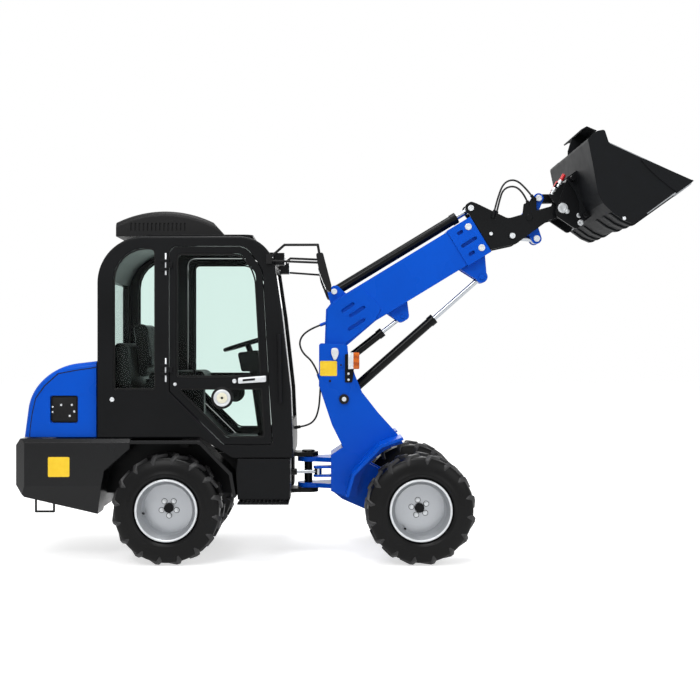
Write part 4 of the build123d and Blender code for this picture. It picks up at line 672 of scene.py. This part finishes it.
for side, hand in SIDES:
    sheet = plate(COUNTERWEIGHT_PLATE, side * COUNTERWEIGHT_FACE, PLATE_T)
    set_down(sheet, "counterweight_plate_" + hand, film, "rear_frame")
    sheet = plate(TOWER_PLATE, side * TOWER_FACE, PLATE_T)
    set_down(sheet, "tower_plate_" + hand, film, "front_frame")

# Cab glass
# Toughened panes, pale green through their thickness, held in extruded rubber gaskets: clear sheets with a clean
# gloss and a faint film of handling, drawn at 600 mm. The IOR is low, as a thin pane hardly bends or veils the view.
UPPER_PANE = ((-1236, 1318, 20), (-1236, 2192, 40), (-772, 2192, 70), (-676, 2050, 70), (-634, 1318, 20))
LOWER_PANE = ((-1236, 1240, 15), (-630, 1240, 20), (-607, 890, 25), (-882, 890, 30))
QUARTER = ((-1682, 1228, 20), (-1682, 2232, 230), (-1382, 2232, 40), (-1382, 1228, 20))
GASKET_BAND = 11
glass, tree, coords = new_finish("toughened_glass")
handled = add_node(tree, "TexNoise", {"Scale": 1000 / 600, "Detail": 2.0}, coords)
rough = add_node(tree, "MapRange", {"To Min": 0.0, "To Max": 0.02}, {"Value": (handled, "Fac")})
skin = add_node(tree, "BsdfPrincipled",
                {"Base Color": linear("#EAF7F3"), "IOR": 1.13, "Transmission Weight": 1.0},
                {"Roughness": (rough, "Result")})
add_node(tree, "OutputMaterial", None, {"Surface": (skin, "BSDF")})
dress(glass, "quarter_windows", "windscreen", "rear_window", "door_glass_right", "door_glass_left")

# Extruded EPDM: dull black, a little uneven along its length.
gasket_rubber, tree, coords = new_finish("extruded_gasket_rubber")
tone = add_node(tree, "TexNoise", {"Scale": 1000 / 30}, coords)
colour = add_node(tree, "Mix", {"data_type": "RGBA", 6: linear("#080808"), 7: linear("#121212")},
                  {0: (tone, "Fac")})
rough = add_node(tree, "MapRange", {"To Min": 0.4, "To Max": 0.55}, {"Value": (tone, "Fac")})
skin = add_node(tree, "BsdfPrincipled", {"Specular IOR Level": 0.2},
                {"Base Color": (colour, 2), "Roughness": (rough, "Result")})
add_node(tree, "OutputMaterial", None, {"Surface": (skin, "BSDF")})
for side, hand in SIDES:
    for name, outline, y, thickness, body in (("upper", UPPER_PANE, 506, 12, hand + "_door"),
                                              ("lower", LOWER_PANE, 506, 12, hand + "_door"),
                                              ("quarter", QUARTER, 505, 16, "rear_frame")):
        seal = plate(outline, side * y, thickness, GASKET_BAND)
        set_down(seal, "gasket_" + name + "_" + hand, gasket_rubber, body, 0.003)

# Door furniture
# A die-cast silver pull handle with a thin black sheet on its face as painted shade for its finger slot, a round key
# button beside it, and a lock in a black boss: a silver ring round a cream push disc with a dark centre.
CAST_HANDLE = ((-796, 1274, 10), (-796, 1314, 10), (-599, 1330, 10), (-599, 1286, 10))
FINGER_SLOT_SHADE = ((-764, 1289, 5), (-764, 1305, 5), (-676, 1313, 5), (-676, 1297, 5))
HINGE_SPANS = ((1284, 1453), (2040, 2195))
LOCK = (-0.913, 1.171)

# Moulded acetal: warm white, smooth and a little waxy.
cream, tree, coords = new_finish("cream_acetal")
tone = add_node(tree, "TexNoise", {"Scale": 1000 / 25}, coords)
colour = add_node(tree, "Mix", {"data_type": "RGBA", 6: linear("#D9D5BC"), 7: linear("#ECE9D6")},
                  {0: (tone, "Fac")})
skin = add_node(tree, "BsdfPrincipled", {"Roughness": 0.35}, {"Base Color": (colour, 2)})
add_node(tree, "OutputMaterial", None, {"Surface": (skin, "BSDF")})

pin_head = blank(40, 0.010, 0.004)
pick(pin_head, top)
bpy.ops.mesh.inset(thickness=0.0012)
push(0, 0, 0.0007)
bpy.ops.mesh.inset(thickness=0.0045)
push(0, 0, -0.0006)
pin_head = set_down(pin_head, "pin_head", zinc, edge=0.0004)

boss = blank(48, 0.078, 0.017)
pick(boss, top)
bpy.ops.mesh.inset(thickness=0.012)
push(0, 0, 0.002)
boss = set_down(boss, "boss", plastic, edge=0.003)
ring = blank(48, 0.060, 0.003)
pick(ring, top)
bpy.ops.mesh.inset(thickness=0.006)
push(0, 0, 0.003)
bpy.ops.mesh.inset(thickness=0.008)
push(0, 0, -0.004)
ring = set_down(ring, "ring", zinc, edge=0.001)
disc = blank(40, 0.037, 0.006)
pick(disc, top)
bpy.ops.mesh.inset(thickness=0.027)
push(0, 0, -0.002)
disc = set_down(disc, "disc", cream, edge=0.001)
for side, hand in SIDES:
    out = outwards(side)
    body = hand + "_door"
    lay_copy(boss, "lock_boss_" + hand, (LOCK[0], side * 0.507, LOCK[1]), out, body=body)
    lay_copy(ring, "lock_ring_" + hand, (LOCK[0], side * 0.526, LOCK[1]), out, body=body)
    lay_copy(disc, "lock_disc_" + hand, (LOCK[0], side * 0.528, LOCK[1]), out, body=body)
    centre = lay_copy(pin_head, "lock_centre_" + hand, (LOCK[0], side * 0.531, LOCK[1]), out, (0.9, 0.9, 0.6), body)
    centre.data.materials[0] = plastic
    lay_copy(pin_head, "key_button_" + hand, (-0.825, side * 0.521, 1.290), out, (1.5, 1.5, 3.0), body)
    pull = plate(CAST_HANDLE, side * 543, 29)
    pick(pull, lambda middle, normal: abs(normal.y) > 0.9 and abs(middle.y) > 0.57)
    bpy.ops.mesh.inset(thickness=0.006)
    push(0, side * 0.003, 0)
    set_down(pull, "door_pull_" + hand, zinc, body, 0.003)
    # A black sheet on the pull's face: painted shade for the finger slot.
    slot_shade = plate(FINGER_SLOT_SHADE, side * 574.6, 1.0)
    set_down(slot_shade, "finger_slot_shade_" + hand, plastic, body, 0.0004)
    for i, (low, high) in enumerate(HINGE_SPANS):
        leaf = plate([(-1316, low, 3), (-1316, high, 3), (-1304, high, 3), (-1304, low, 3)], side * 524, 8)
        set_down(leaf, "hinge_cover_" + hand + str(i), zinc, "rear_frame", 0.003)
    lay_copy(bolt, "door_corner_bolt_" + hand, (-1.246, side * 0.522, 1.268), out, (1.2, 1.2, 1.2), body)
    lay_copy(pin_head, "cab_side_stud_" + hand, (-1.690, side * 0.524, 1.160), out, (1.6, 1.6, 2.0), "rear_frame")
for master in (boss, ring, disc):
    bpy.data.objects.remove(master)

# Mirrors and lamps
# Silvered mirror glass in the backs of the moulded housings, ribbed clear lenses in the roof lamps, and marker lamps
# on the tower: a silver body with an amber lens.
MIRROR = ((-66, -68, 18), (-66, 68, 18), (66, 68, 18), (66, -68, 18))
LAMP_LENS = ((-38, -38, 6), (-38, 38, 6), (38, 38, 6), (38, -38, 6))
MIRROR_LEAN = radians(-21.9)
MARKER_Y = 0.215
MARKER_Z = 1.431
MARKER_SECTION = (0.064, 0.122)

# Silvered glass: a clear mirror with faint wiping marks, drawn at 50 mm.
mirror_glass, tree, coords = new_finish("silvered_mirror_glass")
wipe = add_node(tree, "TexNoise", {"Scale": 1000 / 50, "Detail": 3.0}, coords)
rough = add_node(tree, "MapRange", {"To Min": 0.02, "To Max": 0.06}, {"Value": (wipe, "Fac")})
skin = add_node(tree, "BsdfPrincipled", {"Base Color": linear("#E4E8EA"), "Metallic": 1.0},
                {"Roughness": (rough, "Result")})
add_node(tree, "OutputMaterial", None, {"Surface": (skin, "BSDF")})

# Pressed glass with upright ribs of 9 mm that scatter the light: pale and bright.
lens, tree, coords = new_finish("ribbed_clear_lens")
ribs = add_node(tree, "TexWave", {"Scale": 1000 / 9 / 20, "bands_direction": "Y"}, coords)
bump = add_node(tree, "Bump", {"Strength": 0.6, "Distance": 0.002}, {"Height": (ribs, "Fac")})
colour = add_node(tree, "Mix", {"data_type": "RGBA", 6: linear("#C9D2D6"), 7: linear("#EEF3F5")},
                  {0: (ribs, "Fac")})
skin = add_node(tree, "BsdfPrincipled", {"Roughness": 0.08, "Coat Weight": 0.6},
                {"Base Color": (colour, 2), "Normal": (bump, "Normal")})
add_node(tree, "OutputMaterial", None, {"Surface": (skin, "BSDF")})

# Moulded acrylic, tinted through, with level ribs of 8 mm: deep orange with a clean gloss.
amber, tree, coords = new_finish("amber_lens_acrylic")
ribs = add_node(tree, "TexWave", {"Scale": 1000 / 8 / 20, "bands_direction": "Z"}, coords)
bump = add_node(tree, "Bump", {"Strength": 0.5, "Distance": 0.002}, {"Height": (ribs, "Fac")})
colour = add_node(tree, "Mix", {"data_type": "RGBA", 6: linear("#A8470A"), 7: linear("#CE6512")},
                  {0: (ribs, "Fac")})
skin = add_node(tree, "BsdfPrincipled", {"Roughness": 0.15, "Specular IOR Level": 0.3},
                {"Base Color": (colour, 2), "Normal": (bump, "Normal")})
add_node(tree, "OutputMaterial", None, {"Surface": (skin, "BSDF")})

pane = plate(MIRROR, -1, 1.5)
pane = set_down(pane, "pane", mirror_glass, edge=0.0008)
pane.data.transform(Matrix.Rotation(MIRROR_LEAN, 4, "Y") @ Matrix.Rotation(-pi / 2, 4, "Z"))
face = plate(LAMP_LENS, -1, 5)
pick(face, lambda middle, normal: normal.y < -0.9)
bpy.ops.mesh.inset(thickness=0.006)
push(0, -0.003, 0)
face = set_down(face, "face", lens, edge=0.0015)
face.data.transform(Matrix.Rotation(pi / 2, 4, "Z"))
for side, hand in SIDES:
    lay_copy(pane, "mirror_pane_" + hand, (-0.2022, side * 0.620, 1.998), body="rear_frame")
    lay_copy(face, "work_lamp_lens_" + hand, (-0.476, side * 0.445, 2.158), body="rear_frame")
    for name, x, length, material in (("marker_body_", 0.0025, 0.039, zinc), ("marker_lens_", 0.0415, 0.041, amber)):
        bpy.ops.object.select_all(action="DESELECT")
        bpy.ops.mesh.primitive_cube_add(size=1.0, location=(x, side * MARKER_Y, MARKER_Z),
                                        scale=(length, *MARKER_SECTION))
        marker = edit()
        pick(marker, lambda middle, normal: normal.x > 0.9)
        if material == amber:
            bpy.ops.mesh.inset(thickness=0.008)
            bpy.ops.transform.translate(value=(0.004, 0, 0))
        set_down(marker, name + hand, material, "front_frame", 0.0035)
for master in (pane, face):
    bpy.data.objects.remove(master)

# Seat
# Two foam cushions in black vinyl, blown up by the filling and pulled in along their sewn channels, on the
# seat base in the cab. The grain of the vinyl is drawn at 5 mm.
CUSHION = ((-1488, 1264, 12), (-1488, 1340, 20), (-1064, 1352, 25), (-1062, 1287, 15), (-1104, 1264, 12))
BACK = ((-1550, 1302, 12), (-1598, 1706, 25), (-1510, 1708, 25), (-1466, 1384, 12), (-1514, 1384, 8),
        (-1514, 1302, 8))
SEAT_VOXEL = 0.010
SEAT_SWELL = 0.010
CHANNEL_DEPTH = 0.007
CHANNEL_WIDTH = 0.008
FILLING_STEPS = 20
FILLING_PRESSURE = 4.0
vinyl, tree, coords = new_finish("seat_vinyl")
grain = add_node(tree, "TexVoronoi", {"Scale": 1000 / 5}, coords)
bump = add_node(tree, "Bump", {"Strength": 0.3, "Distance": 0.001}, {"Height": (grain, "Distance")})
tone = add_node(tree, "TexNoise", {"Scale": 1000 / 120}, coords)
colour = add_node(tree, "Mix", {"data_type": "RGBA", 6: linear("#0C0C0D"), 7: linear("#161617")},
                  {0: (tone, "Fac")})
skin = add_node(tree, "BsdfPrincipled", {"Roughness": 0.45, "Specular IOR Level": 0.15},
                {"Base Color": (colour, 2), "Normal": (bump, "Normal")})
add_node(tree, "OutputMaterial", None, {"Surface": (skin, "BSDF")})
for name, outline, half, node, channels in (("seat_pad", CUSHION, 222, "seat_cushion", ((0, -1.34), (0, -1.20))),
                                            ("back_pad", BACK, 212, "seat_back", ((2, 1.48), (2, 1.60)))):
    pad = plate(outline, -half, -2 * half)
    pad = set_down(pad, name, vinyl)
    skin_mesh = pad.modifiers.new("skin", "REMESH")
    skin_mesh.mode = "VOXEL"
    skin_mesh.voxel_size = SEAT_VOXEL
    bpy.ops.object.modifier_apply(modifier="skin")
    slack = [vert.co.copy() for vert in pad.data.vertices]
    filling = pad.modifiers.new("filling", "CLOTH")
    filling.settings.use_pressure = True
    filling.settings.uniform_pressure_force = FILLING_PRESSURE
    filling.settings.effector_weights.gravity = 0.0
    filling.point_cache.frame_end = FILLING_STEPS
    for step in range(1, FILLING_STEPS + 1):
        bpy.context.scene.frame_set(step)
    bpy.ops.object.modifier_apply(modifier="filling")
    bpy.context.scene.frame_set(1)
    floor_z = min(place.z for place in slack)
    for vert, place in zip(pad.data.vertices, slack):
        swell = vert.co - place
        if swell.length > SEAT_SWELL:
            vert.co = place + swell.normalized() * SEAT_SWELL
        for axis, at in channels:
            inwards = CHANNEL_DEPTH * exp(-((vert.co[axis] - at) / CHANNEL_WIDTH) ** 2)
            vert.co -= vert.normal * inwards
        vert.co.z = max(vert.co.z, floor_z)
    rounded = pad.modifiers.new("rounded", "SUBSURF")
    rounded.levels = rounded.render_levels = 1
    bpy.ops.object.modifier_apply(modifier="rounded")
    bpy.ops.object.shade_smooth()
    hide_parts(node)
    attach(pad, "rear_frame")

# Rear trim
# The moulded bulkhead behind the seat, screwed to the cab's rear wall, which covers the engine's end below the rear
# window, in the hood lining's plastic.
BULKHEAD = ((-1686, 1222, 0), (-1686, 1560, 30), (-1600, 1560, 40), (-1560, 1222, 0))
BULKHEAD_HALF = 450
bulkhead = plate(BULKHEAD, -BULKHEAD_HALF, -2 * BULKHEAD_HALF)
set_down(bulkhead, "rear_bulkhead", plastic, "rear_frame", 0.006)

# Tower fittings
# Zinc-plated keepers on the boom pivot, black caps on the lift cylinder's foot pins, and the bolts of the lamp
# brackets, on both outer cheeks of the tower.
KEEPER = ((-146, 1496, 22), (-134, 1526, 14), (-96, 1526, 14), (-82, 1490, 22), (-104, 1436, 12), (-122, 1436, 12))
LIFT_FOOT = (-0.046, 1.147)
TOWER_BOLTS = ((-0.013, 1.290, 0.183, zinc), (-0.013, 1.335, 0.183, zinc), (-0.069, 1.399, 0.1758, plastic),
               (-0.150, 1.281, 0.175, plastic))
for side, hand in SIDES:
    out = outwards(side)
    keeper = plate(KEEPER, side * 182, 6)
    set_down(keeper, "pivot_keeper_" + hand, zinc, "front_frame", 0.0015)
    lay_copy(bolt, "keeper_bolt_" + hand, (-0.113, side * 0.188, 1.450), out, (1.0, 1.0, 1.0), "front_frame")
    place = (LIFT_FOOT[0], side * 0.182, LIFT_FOOT[1])
    cap = lay_copy(pin_head, "lift_foot_cap_" + hand, place, out, (3.7, 3.7, 2.0), "front_frame")
    cap.data.materials[0] = plastic
    place = (LIFT_FOOT[0], side * 0.190, LIFT_FOOT[1])
    lay_copy(pin_head, "lift_foot_pin_" + hand, place, out, (1.7, 1.7, 1.5), "front_frame")
    for i, (x, z, y, material) in enumerate(TOWER_BOLTS):
        screw = lay_copy(bolt, "tower_bolt_" + hand + str(i), (x, side * y, z), out, (0.9, 0.9, 0.9), "front_frame")
        screw.data.materials[0] = material

# Pin heads
# Turned and zinc-plated ends of the pins that join the booms, cranks, links and hitch, flush in their bosses, with
# a shallow centre left from turning.
HITCH_PIN = (1576.4, 2563.0)
PINS = (("collar_upper", 881.5, 2429.7, 108, 25, "boom"), ("collar_lower", 981.5, 2272.9, 108, 25, "boom"),
        ("telescope_back", -118.5, 1949.3, 62, 22, "boom"), ("telescope_front", 900.9, 2569.1, 108, 22, "inner_boom"),
        ("tilt_base", 1051.3, 2377.1, 106, 13, "inner_boom"), ("head_lower", 1210.7, 2361.9, 112, 21, "inner_boom"),
        ("hitch_pivot", *HITCH_PIN, 154, 37, "inner_boom"), ("crank_upper", 1415.3, 2649.1, 70, 24, "bell_crank"),
        ("crank_lower", 1400.3, 2345.1, 70, 24, "bell_crank"), ("hitch_front", 1697.0, 2508.0, 150, 18, "hitch"),
        ("hitch_lock", 1709.0, 2455.0, 150, 22, "hitch"))
for name, x, z, y, r, body in PINS:
    for side, hand in SIDES:
        place = (x / 1000, side * (y - 0.2) / 1000, z / 1000)
        lay_copy(pin_head, "pin_" + name + "_" + hand, place, outwards(side), (r / 10, r / 10, 1.3), body)
        if name == "hitch_pivot":
            place = (1.608, side * 0.150, 2.538)
            lay_copy(bolt, "pivot_keeper_bolt_" + hand, place, outwards(side), (1.8, 1.8, 1.6), body)

# Bucket
# Bent and welded plate in a dull black primer, with flat wear strips under its heel, a cutting edge that the ground
# keeps bright, bright strips along the side plates' rims, the lower partly wear and partly a painted highlight, the
# upper a painted highlight, and one stud on each side plate.
BUCKET_TILT = radians(35.7)
STRIP = ((640, -371), (226, -367), (207, -355), (173, -298), (143, -213), (131, -215), (160, -305), (197, -366),
         (222, -380), (640, -380))
CUTTING_EDGE = ((560, -367), (716, -368), (716, -370), (700, -379), (560, -381))
EDGE_HALF = 630
RIM_WEAR_AND_HIGHLIGHTS = (("lower", ((330, -368.5), (330, -362), (706, -357), (722, -368.5))),
             ("upper", ((408, 189), (721, -362), (716, -365), (403, 186))))
RIM_FACE = 639
STRIP_WIDTH = 60
STRIP_SIDES = (170, 370, 540)
primer, tree, coords = new_finish("dull_black_primer")
tone = add_node(tree, "TexNoise", {"Scale": 1000 / 90, "Detail": 5.0}, coords)
colour = add_node(tree, "Mix", {"data_type": "RGBA", 6: linear("#0A0B0C"), 7: linear("#131518")},
                  {0: (tone, "Fac")})
edges = add_node(tree, "Bevel", {"samples": 4, "Radius": 0.005})
bump = add_node(tree, "Bump", {"Strength": 0.15, "Distance": 0.001},
                {"Height": (tone, "Fac"), "Normal": (edges, "Normal")})
rough = add_node(tree, "MapRange", {"To Min": 0.5, "To Max": 0.68}, {"Value": (tone, "Fac")})
skin = add_node(tree, "BsdfPrincipled", {"IOR": 1.5, "Specular IOR Level": 0.1},
                {"Base Color": (colour, 2), "Roughness": (rough, "Result"), "Normal": (bump, "Normal")})
add_node(tree, "OutputMaterial", None, {"Surface": (skin, "BSDF")})
dress(primer, "bucket")

# Steel scoured by soil and stone: bare grey with fine scratches, drawn at 12 mm. It also gives the painted highlights
# along the bucket's side rims.
bright_steel_and_highlight, tree, coords = new_finish("ground_bright_steel_and_highlight")
scratch = add_node(tree, "TexNoise", {"Scale": 1000 / 12, "Detail": 6.0}, coords)
colour = add_node(tree, "Mix", {"data_type": "RGBA", 6: linear("#6E7073"), 7: linear("#A2A5A8")},
                  {0: (scratch, "Fac")})
rough = add_node(tree, "MapRange", {"To Min": 0.3, "To Max": 0.55}, {"Value": (scratch, "Fac")})
skin = add_node(tree, "BsdfPrincipled", {"Metallic": 0.8},
                {"Base Color": (colour, 2), "Roughness": (rough, "Result")})
add_node(tree, "OutputMaterial", None, {"Surface": (skin, "BSDF")})


def on_bucket(points):
    """The outline of a plate measured along and across the bucket from the hitch pin."""
    return [(HITCH_PIN[0] + a * cos(BUCKET_TILT) - b * sin(BUCKET_TILT),
             HITCH_PIN[1] + a * sin(BUCKET_TILT) + b * cos(BUCKET_TILT), 0) for a, b in points]


for side, hand in SIDES:
    for i, y in enumerate(STRIP_SIDES):
        strip = plate(on_bucket(STRIP), side * y, STRIP_WIDTH)
        set_down(strip, "wear_strip_" + hand + str(i), primer, "hitch", 0.002)
    # Bright strips along the side plates' edges: the upper is a painted highlight, the lower partly wear and partly a
    # painted highlight.
    for name, outline in RIM_WEAR_AND_HIGHLIGHTS:
        rim = plate(on_bucket(outline), side * RIM_FACE, 2)
        set_down(rim, "rim_wear_and_highlight_" + name + "_" + hand, bright_steel_and_highlight, "hitch", 0.0005)
    place = (1.898, side * 0.6395, 2.426)
    lay_copy(pin_head, "bucket_stud_" + hand, place, outwards(side), (1.2, 1.2, 1.2), "hitch")
edge = plate(on_bucket(CUTTING_EDGE), -EDGE_HALF, -2 * EDGE_HALF)
set_down(edge, "cutting_edge", bright_steel_and_highlight, "hitch", 0.001)
bpy.data.objects.remove(pin_head)

# Couplers
# Quick couplers on the hitch for an attachment's hydraulics: zinc-plated bodies with a sliding collar, closed by
# glossy moulded dust caps.
COUPLER_FEET = ((1.4964, -0.1227, 2.6670), (1.5424, -0.1227, 2.7210))
COUPLER_LEAN = radians(30.0)
coupler = blank(32, 0.0127, 0.026)
pick(coupler, top)
bpy.ops.mesh.inset(thickness=0.002)
push(0, 0, 0.003)
bpy.ops.transform.resize(value=(1.66, 1.66, 1))
push(0, 0, 0.026)
bpy.ops.mesh.inset(thickness=0.0015)
push(0, 0, 0.002)
coupler = set_down(coupler, "coupler", zinc, edge=0.0006)
for i, foot in enumerate(COUPLER_FEET):
    lay_copy(coupler, "coupler_body_" + str(i), foot, (0, COUPLER_LEAN, 0), body="hitch")
bpy.data.objects.remove(coupler)

# Injection-moulded polyethylene, red through and through: smooth, even and a little waxy.
cap_red, tree, coords = new_finish("red_cap_plastic")
tone = add_node(tree, "TexNoise", {"Scale": 1000 / 25}, coords)
colour = add_node(tree, "Mix", {"data_type": "RGBA", 6: linear("#B01018"), 7: linear("#CF1A22")},
                  {0: (tone, "Fac")})
skin = add_node(tree, "BsdfPrincipled", {"Roughness": 0.35}, {"Base Color": (colour, 2)})
add_node(tree, "OutputMaterial", None, {"Surface": (skin, "BSDF")})
dress(cap_red, "couplers")

# Steps
# The treads below the doors are folded from sheet steel and carry a field of pressed anti-slip buttons, painted with
# the step.
FIRST_BUTTON = (-0.780, -0.575, 0.438)
BUTTON_PITCH = 0.029
BUTTON_ROWS = ((0, 12), (1, 6))
LEFT_TREAD = (0, 1.005, 0)
bpy.ops.object.select_all(action="DESELECT")
bpy.ops.mesh.primitive_cylinder_add(vertices=12, radius=0.009, depth=0.002, location=FIRST_BUTTON)
button = edit()
pick(button, top)
bpy.ops.mesh.inset(thickness=0.003)
bpy.ops.transform.translate(value=(0, 0, 0.0015))
button = set_down(button, "step_buttons_right", black_satin)
for axis, count in BUTTON_ROWS:
    row = button.modifiers.new("row", "ARRAY")
    row.count = count
    row.use_relative_offset = False
    row.use_constant_offset = True
    row.constant_offset_displace = [BUTTON_PITCH if i == axis else 0.0 for i in range(3)]
    bpy.ops.object.modifier_apply(modifier="row")
lay_copy(button, "step_buttons_left", LEFT_TREAD, body="rear_frame")
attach(button, "rear_frame")
bpy.data.objects.remove(bolt)
